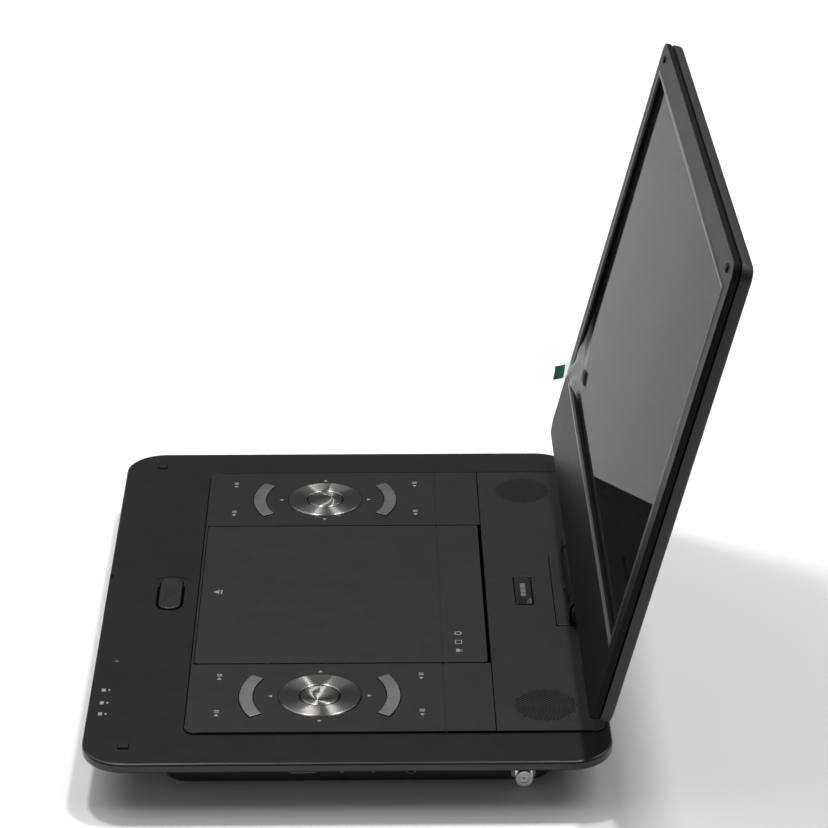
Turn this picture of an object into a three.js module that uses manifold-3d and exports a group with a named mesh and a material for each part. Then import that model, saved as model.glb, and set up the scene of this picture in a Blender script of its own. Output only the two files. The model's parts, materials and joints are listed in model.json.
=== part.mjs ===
// Portable DVD player with a swivelling screen, in millimetres, +Z up.
// The player stands on its feet and faces -Y. The screen is open and leans back.
// The model is laid out from the middle of the base, then moved as a whole so that the origin
// is the middle of its bounding box, on the table.
import * as THREE from 'three';
import { mergeVertices } from 'three/addons/utils/BufferGeometryUtils.js';
import Module from 'manifold-3d';

const wasm = await Module();
wasm.setup();

// ---------- driving dimensions ----------
const GAP = 0.3;

// base: a wide thin rim on a narrower body
const BASE_WIDTH = 385;
const BASE_DEPTH = 284;
const BASE_CORNER = 24;
const RIM_TOP = 29.5;
const RIM_UNDERSIDE = 24;
const RIM_EDGE_ROUNDING = 1.2;
const RIM_SKIN = 2.5;
const SKIRT = 2.3;
const BODY_HALF_WIDTH = 168;
const BODY_FRONT = -100;
const BODY_REAR = 111;
const BODY_BOTTOM = 2.5;
const BODY_WALL = 2.4;
const BODY_CORNER = 14;
const BODY_EDGE = 4;

// the raised inner panel, in a front control part and a rear loudspeaker part
const PANEL_TOP = 30.5;
const PANEL_BOTTOM = 26.8;
const PANEL_HALF_WIDTH = 161.5;
const PANEL_FRONT = -88.3;
const PANEL_SPLIT = 80.1;
const PANEL_REAR = 139;
const PANEL_CORNER = 7;
const PANEL_GROOVE_Y = 53;
const GROOVE_WIDTH = 0.9;
const GROOVE_DEPTH = 0.5;

// disc lid
const LID_HALF_WIDTH = 85.5;
const LID_FRONT = -86.3;
const LID_REAR = 78.2;
const LID_TOP = 30.6;
const LID_BOTTOM = 27.3;
const LID_AXIS_Y = 77.4;
const LID_AXIS_Z = 28.4;
const LID_PIN_RADIUS = 0.9;

// controls
const PAD_X = 122.5;
const PAD_Y = -15.4;
const RING_OUTER = 23;
const RING_INNER = 11.4;
const CENTRE_BUTTON = 10.9;
const ARC_OUTER = 44.5;
const ARC_INNER = 36.8;
const ARC_HALF_ANGLE = THREE.MathUtils.degToRad(31.5);
const MODE_BUTTON = { width: 35, depth: 10, y: 102.3 };
const OPEN_BUTTON = { halfLength: 18.8, front: -111, rear: -98, bottom: 28, top: 30.1 };

// disc drive
const DISC_Y = -4;
const BAY_RADIUS = 62.5;
const BAY_FLOOR = 18;
const BAY_TOP = 26.5;

// hinge
const SWIVEL_Y = 131;
const TILT_Y = 134;
const TILT_Z = 39.5;
const BARREL_RADIUS = 7.4;
const TOWER_HALF_WIDTH = 43;
const TOWER_BOTTOM = 31.4;
const TILT_OPEN_DEGREES = 104;

// screen, measured from the tilt axis: y up along the screen, z out of its face
const SCREEN_HALF_WIDTH = 186.2;
const SCREEN_BOTTOM = 7.75;
const SCREEN_TOP = 275;
const SCREEN_CORNER = 8;
const SCREEN_FACE = 7.87;
const SCREEN_SEAM = 3.57;
const SCREEN_BACK = -3.13;
const WINDOW_HALF_WIDTH = 172.4;
const WINDOW_BOTTOM = 50.2;
const WINDOW_TOP = 257.1;
const GLASS_FACE = 4.87;

// side connectors, in a row along the right wall of the body
const PORT_Z = 12;
const ANTENNA = { y: 94.4, z: 11.8, reach: 180, radius: 4.9 };

// ---------- materials ----------
function finish(color, roughness, metalness = 0) {
  return new THREE.MeshStandardMaterial({ color, roughness, metalness });
}
const BLACK_SATIN = finish(0x25262a, 0.45);
const BLACK_GLOSS = finish(0x16171a, 0.2);
const BLACK_MATT = finish(0x101012, 0.8);
const GUNMETAL = finish(0x6d6a66, 0.35, 0.8);
const CHROME = finish(0xd8d8d8, 0.12, 1);
const STEEL = finish(0x9b9da0, 0.4, 0.9);
const RUBBER = finish(0x0c0c0c, 0.9);
const GLASS = finish(0x3a3d42, 0.08);
const BOARD = finish(0x14502e, 0.6);
const GREY_PLASTIC = finish(0x55575a, 0.6);
const FILM = finish(0xbfc6c8, 0.15);

// ---------- solids ----------
function solid(geometry) {
  const bare = geometry.index ? geometry.clone() : geometry;
  bare.deleteAttribute('normal');
  bare.deleteAttribute('uv');
  const merged = mergeVertices(bare, 1e-4);
  const vertProperties = new Float32Array(merged.attributes.position.array);
  const triVerts = new Uint32Array(merged.index.array);
  return new wasm.Manifold(new wasm.Mesh({ numProp: 3, vertProperties, triVerts }));
}

function join(...solids) {
  return solids.reduce((all, next) => all.add(next));
}

function cut(body, ...tools) {
  return tools.reduce((left, tool) => left.subtract(tool), body);
}

function surface(body) {
  const mesh = body.getMesh();
  const geometry = new THREE.BufferGeometry();
  geometry.setAttribute('position', new THREE.BufferAttribute(mesh.vertProperties, 3));
  geometry.setIndex(new THREE.BufferAttribute(mesh.triVerts, 1));
  geometry.computeVertexNormals();
  return geometry;
}

function roundedRect(left, front, right, rear, radius) {
  const shape = new THREE.Shape();
  shape.absarc(right - radius, rear - radius, radius, 0, Math.PI / 2);
  shape.absarc(left + radius, rear - radius, radius, Math.PI / 2, Math.PI);
  shape.absarc(left + radius, front + radius, radius, Math.PI, 1.5 * Math.PI);
  shape.absarc(right - radius, front + radius, radius, 1.5 * Math.PI, 2 * Math.PI);
  shape.closePath();
  return shape;
}

// a flat piece with its outline in X and Y; edge rounds off both its faces inside the outline
function plate(shape, bottom, top, { edge = 0, arcSteps = 4, edgeSteps = 2 } = {}) {
  const geometry = new THREE.ExtrudeGeometry(shape, {
    depth: top - bottom - 2 * edge,
    bevelEnabled: edge > 0,
    bevelThickness: edge,
    bevelSize: edge,
    bevelOffset: -edge,
    bevelSegments: edgeSteps,
    curveSegments: arcSteps,
  });
  geometry.translate(0, 0, bottom + edge);
  return solid(geometry);
}

function block(left, front, bottom, right, rear, top) {
  const geometry = new THREE.BoxGeometry(right - left, rear - front, top - bottom);
  geometry.translate((left + right) / 2, (front + rear) / 2, (bottom + top) / 2);
  return solid(geometry);
}

function drumZ(x, y, radius, bottom, top, sides = 24) {
  const geometry = new THREE.CylinderGeometry(radius, radius, top - bottom, sides);
  geometry.rotateX(Math.PI / 2);
  geometry.translate(x, y, (bottom + top) / 2);
  return solid(geometry);
}

function drumX(left, right, y, z, radius, sides = 24) {
  const geometry = new THREE.CylinderGeometry(radius, radius, right - left, sides);
  geometry.rotateZ(Math.PI / 2);
  geometry.translate((left + right) / 2, y, z);
  return solid(geometry);
}

// profile: [radius, height] points, upwards on the outside, that start and end on the axis
// or close on themselves
function turned(profile, sides = 32) {
  return new THREE.LatheGeometry(profile.map(([r, h]) => new THREE.Vector2(r, h)), sides);
}

function turnedZ(x, y, profile, sides) {
  const geometry = turned(profile, sides);
  geometry.rotateX(Math.PI / 2);
  geometry.translate(x, y, 0);
  return solid(geometry);
}

function turnedX(y, z, profile, sides) {
  const geometry = turned(profile, sides);
  geometry.rotateZ(-Math.PI / 2);
  geometry.translate(0, y, z);
  return solid(geometry);
}

// ---------- scene groups ----------
const player = new THREE.Group();
const swivel = new THREE.Group();
const screen = new THREE.Group();
screen.position.set(0, TILT_Y, TILT_Z);
screen.rotation.x = THREE.MathUtils.degToRad(180 - TILT_OPEN_DEGREES);
player.add(swivel, screen);

function piece(name, body, material, group = player) {
  const mesh = new THREE.Mesh(surface(body), material);
  mesh.name = name;
  group.add(mesh);
}

const SIDES = [['right', 1], ['left', -1]];

// ---------- base casing ----------
function ringSector(inner, outer, halfAngle, middle) {
  const shape = new THREE.Shape();
  shape.absarc(0, 0, outer, middle - halfAngle, middle + halfAngle);
  shape.absarc(0, 0, inner, middle + halfAngle, middle - halfAngle, true);
  shape.closePath();
  return shape;
}

function openButtonOutline(margin) {
  const { halfLength, front, rear } = OPEN_BUTTON;
  const radius = (rear - front) / 2 + margin - 0.3;
  return roundedRect(-halfLength - margin, front - margin, halfLength + margin, rear + margin, radius);
}

const RIM_PAD = { x: 173.5, y: -119.5, halfWidth: 2.6, halfDepth: 2.8, sink: 1 };

function rimPadPocket(side, margin, bottom, top) {
  const x = side * RIM_PAD.x;
  const dx = RIM_PAD.halfWidth + margin;
  const dy = RIM_PAD.halfDepth + margin;
  return block(x - dx, RIM_PAD.y - dy, bottom, x + dx, RIM_PAD.y + dy, top);
}

function topCover() {
  const halfWidth = BASE_WIDTH / 2;
  const halfDepth = BASE_DEPTH / 2;
  const outline = roundedRect(-halfWidth, -halfDepth, halfWidth, halfDepth, BASE_CORNER);
  const slab = plate(outline, RIM_UNDERSIDE, RIM_TOP, { edge: RIM_EDGE_ROUNDING, arcSteps: 6 });
  const inner = roundedRect(SKIRT - halfWidth, SKIRT - halfDepth, halfWidth - SKIRT, halfDepth - SKIRT,
    BASE_CORNER - SKIRT);
  const hollow = plate(inner, RIM_UNDERSIDE - 1, RIM_TOP - RIM_SKIN, { arcSteps: 6 });
  const opening = plate(
    roundedRect(
      -PANEL_HALF_WIDTH - GAP, PANEL_FRONT - GAP, PANEL_HALF_WIDTH + GAP, PANEL_REAR + GAP,
      PANEL_CORNER,
    ),
    RIM_UNDERSIDE, RIM_TOP + 1);
  const buttonHole = plate(openButtonOutline(0.5), RIM_UNDERSIDE, RIM_TOP + 1, { arcSteps: 6 });
  const fingerNotch = block(-25, -halfDepth - 1, RIM_TOP - 1.4, 25, -halfDepth + 2.2, RIM_TOP + 1);
  const padPockets = SIDES.map(([, side]) => rimPadPocket(side, GAP, RIM_TOP - RIM_PAD.sink, RIM_TOP + 1));
  return cut(slab, hollow, opening, buttonHole, fingerNotch, ...padPockets);
}
piece('top_cover', topCover(), BLACK_SATIN);

for (const [name, side] of SIDES) {
  const pad = rimPadPocket(side, 0, RIM_TOP - RIM_PAD.sink + GAP, RIM_TOP + 0.8);
  piece(`rim_pad_${name}`, pad, RUBBER);
}

const PORTS = {
  powerSwitch: { y: -82, halfWidth: 7.5, bottom: 10.5, top: 15.5 },
  card: { y: -52, halfWidth: 13.3, bottom: 9.8, top: 14.2 },
  usb: { y: -24, halfWidth: 7.3, bottom: 8.7, top: 15.3 },
  volume: { y: 58, halfWidth: 9.2, bottom: 10.6, top: 15.4 },
};
const JACKS = { av_jack: -3, phones_jack: 14, dc_jack: 34 };
const JACK_RADIUS = { av_jack: 3.6, phones_jack: 3.6, dc_jack: 4.4 };
const BATTERY_DOOR = { left: -150, right: -96, front: -65, rear: 45 };
const HINGE_BOX = { halfWidth: 52, front: 100, rear: 139, bottom: 9 };

function bodyShell(inset, bottom, edge) {
  const outline = roundedRect(-BODY_HALF_WIDTH + inset, BODY_FRONT + inset, BODY_HALF_WIDTH - inset,
    BODY_REAR - inset, BODY_CORNER - inset);
  return plate(outline, bottom, RIM_TOP + 5, { edge });
}

function hingeBox(inset, edge) {
  const { halfWidth, front, rear, bottom } = HINGE_BOX;
  const outline = roundedRect(-halfWidth + inset, front, halfWidth - inset, rear - inset, 6 - inset);
  return plate(outline, bottom + inset, RIM_TOP + 5, { edge });
}

const CASE_INSIDE = [bodyShell(BODY_WALL, BODY_BOTTOM + BODY_WALL, 2), hingeBox(1.6, 0)];

// a flat tray that closes the underside of the overhanging rim
function rimTray() {
  const halfWidth = BASE_WIDTH / 2 - SKIRT - GAP;
  const halfDepth = BASE_DEPTH / 2 - SKIRT - GAP;
  const outline = roundedRect(-halfWidth, -halfDepth, halfWidth, halfDepth, BASE_CORNER - SKIRT - GAP);
  const flange = plate(outline, RIM_UNDERSIDE, PANEL_BOTTOM - GAP, { arcSteps: 6 });
  const buttonPocket = block(-21, -114, RIM_UNDERSIDE + 0.9, 21, BODY_FRONT + BODY_WALL + 1, RIM_TOP);
  return cut(flange, ...CASE_INSIDE, buttonPocket);
}
piece('rim_tray', rimTray(), BLACK_SATIN);

function lowerCase() {
  const top = RIM_UNDERSIDE - GAP;
  const above = block(-BASE_WIDTH, -BASE_DEPTH, top, BASE_WIDTH, BASE_DEPTH, RIM_TOP + 10);
  const outside = join(bodyShell(0, BODY_BOTTOM, BODY_EDGE), hingeBox(0, 2));
  const wallIn = BODY_HALF_WIDTH - BODY_WALL - 1;
  const wallOut = BODY_HALF_WIDTH + 1;
  const slots = Object.values(PORTS).map(({ y, halfWidth: half, bottom, top }) =>
    block(wallIn, y - half, bottom, wallOut, y + half, top));
  const holes = Object.entries(JACKS).map(([name, y]) =>
    drumX(wallIn, wallOut, y, PORT_Z, JACK_RADIUS[name] + GAP));
  const antennaHole = drumX(wallIn, wallOut, ANTENNA.y, ANTENNA.z, ANTENNA.radius + GAP);
  const { left, right, front, rear } = BATTERY_DOOR;
  const doorHole = block(left - GAP, front - GAP, 0, right + GAP, rear + GAP, BODY_BOTTOM + 3);
  const vents = [];
  for (let row = 0; row < 6; row += 1) {
    const y = -30 + row * 8;
    vents.push(block(20, y, 0, 60, y + 3, BODY_BOTTOM + 3));
  }
  return cut(outside, ...CASE_INSIDE, above, ...slots, ...holes, antennaHole, doorHole, ...vents);
}
piece('lower_case', lowerCase(), BLACK_MATT);

function batteryDoor() {
  const { left, right, front, rear } = BATTERY_DOOR;
  const outline = roundedRect(left, front, right, rear, 0.8);
  const door = plate(outline, BODY_BOTTOM, BODY_BOTTOM + 2.1, { arcSteps: 1 });
  const thumbCatch = block(-131, rear - 9, BODY_BOTTOM - 1, -115, rear - 4, BODY_BOTTOM + 0.8);
  return cut(door, thumbCatch);
}
piece('battery_door', batteryDoor(), BLACK_MATT);

const FEET = [[-145, -84], [145, -84], [145, 92], [-145, 92]];
FEET.forEach(([x, y], index) => {
  const profile = [[0, 0], [7, 0], [8, 1], [8, BODY_BOTTOM - GAP], [0, BODY_BOTTOM - GAP]];
  piece(`foot_${index + 1}`, turnedZ(x, y, profile, 20), RUBBER);
});

// ---------- inner panel ----------
function padHoles(margin, bottom, top) {
  const holes = [];
  for (const [, side] of SIDES) {
    holes.push(drumZ(side * PAD_X, PAD_Y, RING_OUTER + margin, bottom, top, 40));
    for (const middle of [-Math.PI / 2, Math.PI / 2]) {
      const angle = ARC_HALF_ANGLE + margin / ARC_INNER;
      const sector = ringSector(ARC_INNER - margin, ARC_OUTER + margin, angle, middle);
      holes.push(plate(sector, bottom, top, { arcSteps: 6 }).translate(side * PAD_X, PAD_Y, 0));
    }
  }
  return holes;
}

function controlPanel() {
  const outline = roundedRect(
    -PANEL_HALF_WIDTH, PANEL_FRONT, PANEL_HALF_WIDTH, PANEL_SPLIT + 10, PANEL_CORNER,
  );
  const slab = plate(outline, PANEL_BOTTOM, PANEL_TOP);
  const halfWidth = LID_HALF_WIDTH + 0.4;
  const lidOpening = block(-halfWidth, LID_FRONT - 0.4, 0, halfWidth, PANEL_REAR, RIM_TOP + 5);
  const beyond = block(-BASE_WIDTH, PANEL_SPLIT - 0.2, 0, BASE_WIDTH, BASE_DEPTH, RIM_TOP + 5);
  const groove = block(-BASE_WIDTH, PANEL_GROOVE_Y - GROOVE_WIDTH / 2, PANEL_TOP - GROOVE_DEPTH,
    BASE_WIDTH, PANEL_GROOVE_Y + GROOVE_WIDTH / 2, PANEL_TOP + 1);
  const pinHoles = SIDES.map(([, side]) => {
    const near = side * (halfWidth - 1);
    const far = side * (halfWidth + 5.5);
    const radius = LID_PIN_RADIUS + 0.3;
    return drumX(Math.min(near, far), Math.max(near, far), LID_AXIS_Y, LID_AXIS_Z, radius, 16);
  });
  return cut(slab, lidOpening, beyond, groove, ...padHoles(GAP, 0, RIM_TOP + 5), ...pinHoles);
}
piece('control_panel', controlPanel(), BLACK_SATIN);

function modeButtonOutline(margin) {
  const halfWidth = MODE_BUTTON.width / 2 + margin;
  const halfDepth = MODE_BUTTON.depth / 2 + margin;
  return roundedRect(-halfWidth, MODE_BUTTON.y - halfDepth, halfWidth, MODE_BUTTON.y + halfDepth, 1.5);
}

const HINGE_PLATE = { halfWidth: 43, front: 119.6, top: 30.9 };

function speakerPanel() {
  const outline = roundedRect(
    -PANEL_HALF_WIDTH, PANEL_SPLIT - 10, PANEL_HALF_WIDTH, PANEL_REAR, PANEL_CORNER,
  );
  const slab = plate(outline, PANEL_BOTTOM, PANEL_TOP);
  const ahead = block(-BASE_WIDTH, 0, 0, BASE_WIDTH, PANEL_SPLIT + 0.2, RIM_TOP + 5);
  const halfWidth = HINGE_PLATE.halfWidth + GAP;
  const hingeNotch = block(-halfWidth, HINGE_PLATE.front - GAP, 0, halfWidth, BASE_DEPTH, RIM_TOP + 5);
  const buttonHole = plate(modeButtonOutline(0.4), 0, RIM_TOP + 5, { arcSteps: 2 });
  return cut(slab, ahead, hingeNotch, buttonHole);
}
piece('speaker_panel', speakerPanel(), BLACK_SATIN);

function hingePlate() {
  const { halfWidth, front, top } = HINGE_PLATE;
  const outline = roundedRect(-halfWidth, front, halfWidth, PANEL_REAR, 2);
  const slab = plate(outline, PANEL_BOTTOM, top, { arcSteps: 2 });
  return cut(slab, drumZ(0, SWIVEL_Y, 5.1, 0, RIM_TOP + 5));
}
piece('hinge_plate', hingePlate(), BLACK_SATIN);

// ---------- buttons ----------
const BUTTON_BOTTOM = 24.8;

for (const [name, side] of SIDES) {
  const ring = [
    [RING_INNER, BUTTON_BOTTOM], [RING_OUTER, BUTTON_BOTTOM], [RING_OUTER, PANEL_TOP + 0.2],
    [RING_OUTER - 0.6, PANEL_TOP + 0.7], [RING_INNER + 0.6, PANEL_TOP + 0.5], [RING_INNER, PANEL_TOP + 0.1],
    [RING_INNER, BUTTON_BOTTOM],
  ];
  piece(`ring_${name}`, turnedZ(side * PAD_X, PAD_Y, ring, 40), GUNMETAL);
  const centre = [
    [0, BUTTON_BOTTOM], [CENTRE_BUTTON, BUTTON_BOTTOM], [CENTRE_BUTTON, PANEL_TOP],
    [CENTRE_BUTTON - 0.6, PANEL_TOP + 0.5], [0, PANEL_TOP + 0.7],
  ];
  piece(`centre_button_${name}`, turnedZ(side * PAD_X, PAD_Y, centre, 32), GUNMETAL);
  for (const [place, middle] of [['front', -Math.PI / 2], ['rear', Math.PI / 2]]) {
    const sector = ringSector(ARC_INNER, ARC_OUTER, ARC_HALF_ANGLE, middle);
    const arc = plate(sector, BUTTON_BOTTOM, PANEL_TOP + 0.6, { edge: 0.3, arcSteps: 5, edgeSteps: 1 });
    piece(`arc_button_${name}_${place}`, arc.translate(side * PAD_X, PAD_Y, 0), GUNMETAL);
  }
}

const modeButton = plate(modeButtonOutline(0), BUTTON_BOTTOM, PANEL_TOP + 0.5, { edge: 0.4, arcSteps: 2 });
piece('mode_button', modeButton, BLACK_GLOSS);

const openButton = plate(openButtonOutline(0), OPEN_BUTTON.bottom, OPEN_BUTTON.top, {
  edge: 0.4,
  edgeSteps: 1,
});
piece('open_button', openButton, BLACK_SATIN);

const LATCH = { halfWidth: 9, front: -95.4, rear: -86.6, bottom: 20.5, top: 25.8 };
function lidLatch() {
  const { halfWidth, front, rear, bottom, top } = LATCH;
  const slider = block(-halfWidth, front, bottom, halfWidth, rear, top);
  const window = block(-halfWidth + 3, front + 3, bottom - 1, halfWidth - 3, rear - 2.5, top + 1);
  return cut(slider, window);
}
piece('lid_latch', lidLatch(), GREY_PLASTIC);

// ---------- disc lid ----------
function discLid() {
  const slab = plate(roundedRect(-LID_HALF_WIDTH, LID_FRONT, LID_HALF_WIDTH, LID_REAR, 1.5),
    LID_BOTTOM, LID_TOP, { arcSteps: 2 });
  const groove = block(-BASE_WIDTH, PANEL_GROOVE_Y - GROOVE_WIDTH / 2, LID_TOP - GROOVE_DEPTH,
    BASE_WIDTH, PANEL_GROOVE_Y + GROOVE_WIDTH / 2, LID_TOP + 1);
  const hook = block(-6, -85.6, 21.5, 6, -83.6, LID_BOTTOM + 0.5);
  const pins = SIDES.map(([, side]) => {
    const near = side * (LID_HALF_WIDTH - 4);
    const far = side * (LID_HALF_WIDTH + 5);
    return drumX(Math.min(near, far), Math.max(near, far), LID_AXIS_Y, LID_AXIS_Z, LID_PIN_RADIUS, 12);
  });
  return join(cut(slab, groove), hook, ...pins);
}
piece('disc_lid', discLid(), BLACK_SATIN);

// ---------- disc drive ----------
function discBay() {
  const deck = block(-84.5, -82.5, BAY_TOP - 1.5, 84.5, 76, BAY_TOP);
  const cup = drumZ(0, DISC_Y, BAY_RADIUS + 1.8, BAY_FLOOR - 1.5, BAY_TOP - 1, 40);
  const hollow = drumZ(0, DISC_Y, BAY_RADIUS, BAY_FLOOR, BAY_TOP + 1, 40);
  const hubHole = drumZ(0, DISC_Y, 12.8, 0, BAY_TOP + 1);
  const lensSlot = plate(roundedRect(20, DISC_Y - 6, 62, DISC_Y + 6, 5.5), 0, BAY_TOP);
  return cut(join(deck, cup), hollow, hubHole, lensSlot);
}
piece('disc_bay', discBay(), BLACK_MATT);

const ROD_Z = 12.9;
const ROD_REACH = 15;
const SCREW_Y = DISC_Y + 24;
const FRAME_BOTTOM = 8.4;

function driveFrame() {
  const deck = block(-30, DISC_Y - 34, FRAME_BOTTOM, 79, DISC_Y + 34, FRAME_BOTTOM + 1.4);
  const window = block(18, DISC_Y - 11, 0, 68, DISC_Y + 11, 20);
  const innerWall = block(12, DISC_Y - 20, FRAME_BOTTOM, 14, DISC_Y + 28, 16);
  const outerWall = block(75, DISC_Y - 20, FRAME_BOTTOM, 77, DISC_Y + 28, 16);
  const screwHoles = drumX(70, 80, SCREW_Y, ROD_Z, 1.3, 12);
  return cut(join(deck, innerWall, outerWall), window, screwHoles);
}
piece('drive_frame', driveFrame(), STEEL);

const motor = [[0, 10.2], [11, 10.2], [11, 15.4], [9.5, 16.2], [0, 16.2]];
piece('spindle_motor', turnedZ(0, DISC_Y, motor, 24), STEEL);

const hub = [
  [0, 16.5], [4, 16.5], [4, 18.4], [12.2, 18.4], [12.2, 19.5],
  [7.4, 19.5], [7.3, 20.8], [6.2, 21.6], [0, 21.6],
];
piece('disc_hub', turnedZ(0, DISC_Y, hub, 28), BLACK_MATT);

function pickup() {
  const sled = block(17, DISC_Y - 18, 10.6, 41, DISC_Y + 21.8, 16.2);
  const step = block(16, DISC_Y + 18, 14.2, 42, DISC_Y + 23, 17);
  const lens = drumZ(27, DISC_Y, 4, 16, 17.4, 20);
  const bores = [-1, 1].map((side) => drumX(10, 50, DISC_Y + side * ROD_REACH, ROD_Z, 1.8, 16));
  return cut(join(cut(sled, step), lens), ...bores);
}
piece('pickup', pickup(), GREY_PLASTIC);

for (const [name, side] of [['front', -1], ['rear', 1]]) {
  piece(`guide_rod_${name}`, drumX(14.3, 74.7, DISC_Y + side * ROD_REACH, ROD_Z, 1.5, 16), STEEL);
}

function leadScrew() {
  const profile = [[0, 14.4], [1, 14.4]];
  for (let turn = 0; turn < 5; turn += 1) {
    const x = 20 + turn * 10;
    profile.push([1, x], [1.7, x + 1], [1.7, x + 3], [1, x + 4]);
  }
  profile.push([1, 79.6], [0, 79.6]);
  return turnedX(SCREW_Y, ROD_Z, profile, 10);
}
piece('lead_screw', leadScrew(), STEEL);

function sledMotor() {
  const profile = [[0, 79.9], [3.9, 79.9], [3.9, 94], [2.5, 94.6], [0, 94.6]];
  return turnedX(SCREW_Y, ROD_Z, profile, 20);
}
piece('sled_motor', sledMotor(), STEEL);

// ---------- electronics in the base ----------
function mainBoard() {
  const board = block(92, -80, 6.2, 146, 62, 7.8);
  const chips = [[104, -40, 22, 22, 2], [108, 4, 16, 20, 1.6], [130, 30, 8, 14, 6], [128, -70, 12, 12, 5]];
  const parts = chips.map(([x, y, dx, dy, tall]) => block(x, y, 7.5, x + dx, y + dy, 7.8 + tall));
  return join(board, ...parts);
}
piece('main_board', mainBoard(), BOARD);

for (const [name, side] of SIDES) {
  const x = side * PAD_X;
  const board = block(x - 27, PAD_Y - 48, 22.2, x + 27, PAD_Y + 48, 23.4);
  const places = [[0, 0], [0, -40.6], [0, 40.6], [17, 0], [-17, 0], [0, 17], [0, -17]];
  const domes = places.map(([dx, dy]) => drumZ(x + dx, PAD_Y + dy, 2.6, 23.2, 24.1, 12));
  piece(`key_board_${name}`, join(board, ...domes), BOARD);
}

const battery = plate(roundedRect(-158, -74, -92, 56, 4), 6, 20.5, { edge: 3, arcSteps: 2 });
piece('battery_pack', battery, BLACK_GLOSS);

for (const [name, side] of SIDES) {
  const profile = [
    [0, 10], [8, 10], [8, 15], [13.8, 21], [13.8, 25.2], [12.6, 25.2], [12, 23], [5, 19.5], [0, 20.5],
  ];
  piece(`speaker_${name}`, turnedZ(side * 130, 93.6, profile, 24), BLACK_MATT);
}

// ---------- switches and connectors on the right side ----------
const SIDE_FACE = BODY_HALF_WIDTH;

function powerSwitch() {
  const { y, bottom, top } = PORTS.powerSwitch;
  const knob = block(162, y - 6.9, bottom + 0.5, SIDE_FACE + 1.2, y - 0.9, top - 0.5);
  const shoe = block(161, y - 6.9, bottom - 0.5, 165, y - 0.9, top + 0.5);
  const ribs = [-5.6, -4.1, -2.6].map((at) =>
    block(SIDE_FACE + 0.6, y + at, 0, SIDE_FACE + 2, y + at + 0.6, 30));
  return cut(join(knob, shoe), ...ribs);
}
piece('power_switch', powerSwitch(), BLACK_GLOSS);

function cardSlot() {
  const { y, halfWidth, bottom, top } = PORTS.card;
  const half = halfWidth - GAP;
  const body = block(140, y - half, bottom + GAP, SIDE_FACE - 0.1, y + half, top - GAP);
  return cut(body, block(143, y - 12.2, PORT_Z - 1.1, SIDE_FACE + 1, y + 12.2, PORT_Z + 1.1));
}
piece('card_slot', cardSlot(), BLACK_MATT);

function usbPort() {
  const { y, halfWidth, bottom, top } = PORTS.usb;
  const half = halfWidth - GAP;
  const shell = block(152, y - half, bottom + GAP, SIDE_FACE + 0.2, y + half, top - GAP);
  const mouth = block(154, y - 6.2, bottom + 0.8, SIDE_FACE + 1, y + 6.2, top - 0.8);
  const tongue = block(153, y - 5.2, PORT_Z + 0.4, SIDE_FACE - 1, y + 5.2, PORT_Z + 2.2);
  return join(cut(shell, mouth), tongue);
}
piece('usb_port', usbPort(), STEEL);

for (const [name, y] of Object.entries(JACKS)) {
  const radius = JACK_RADIUS[name];
  const bore = name === 'dc_jack' ? 2.9 : 1.8;
  const housing = block(152, y - 5, PORT_Z - 5, 165, y + 5, PORT_Z + 5);
  const collar = drumX(164, SIDE_FACE + 0.3, y, PORT_Z, radius);
  const hole = drumX(155, SIDE_FACE + 1, y, PORT_Z, bore, 16);
  const socket = cut(join(housing, collar), hole);
  const centrePin = drumX(154, SIDE_FACE - 1, y, PORT_Z, 1, 12);
  piece(name, name === 'dc_jack' ? join(socket, centrePin) : socket, BLACK_MATT);
}

function volumeWheel() {
  const { y } = PORTS.volume;
  const x = 161.6;
  const wheel = drumZ(x, y, 9.6, 11.4, 14.6, 32);
  const notches = [];
  for (let tooth = 0; tooth < 16; tooth += 1) {
    const angle = (tooth / 16) * 2 * Math.PI;
    const notch = drumZ(x + 10 * Math.cos(angle), y + 10 * Math.sin(angle), 0.8, 10, 16, 6);
    notches.push(notch);
  }
  return join(cut(wheel, ...notches), drumZ(x, y, 3, 9.6, 16.4, 16));
}
piece('volume_wheel', volumeWheel(), BLACK_MATT);

function antennaJack() {
  const { reach, radius } = ANTENNA;
  const root = radius - 0.45;
  const profile = [[0, 156], [radius, 156], [radius, 172]];
  for (let ridge = 0; ridge < 3; ridge += 1) {
    const x = 172.4 + ridge * 2;
    profile.push([root, x], [root, x + 0.4], [radius, x + 0.8], [radius, x + 1.2]);
  }
  profile.push([radius, reach - 0.4], [radius - 0.4, reach]);
  profile.push([1.2, reach], [1.2, reach - 5], [0, reach - 5]);
  const nut = drumX(SIDE_FACE + GAP, SIDE_FACE + 3, ANTENNA.y, ANTENNA.z, 7.6, 6);
  return join(turnedX(ANTENNA.y, ANTENNA.z, profile, 16), nut);
}
piece('antenna_jack', antennaJack(), CHROME);

// ---------- swivel and tilt hinge ----------
function swivelBracket() {
  const sheet = block(-38, 114, 21.6, 38, 137, 23.4);
  return cut(sheet, drumZ(0, SWIVEL_Y, 4.8, 0, 40));
}
piece('swivel_bracket', swivelBracket(), STEEL);

const post = [
  [2.4, 16.4], [6.1, 16.4], [6.1, 21.2], [4.5, 21.2], [4.5, 35.9], [2.4, 35.9], [2.4, 16.4],
];
piece('swivel_post', turnedZ(0, SWIVEL_Y, post, 24), STEEL, swivel);

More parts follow.
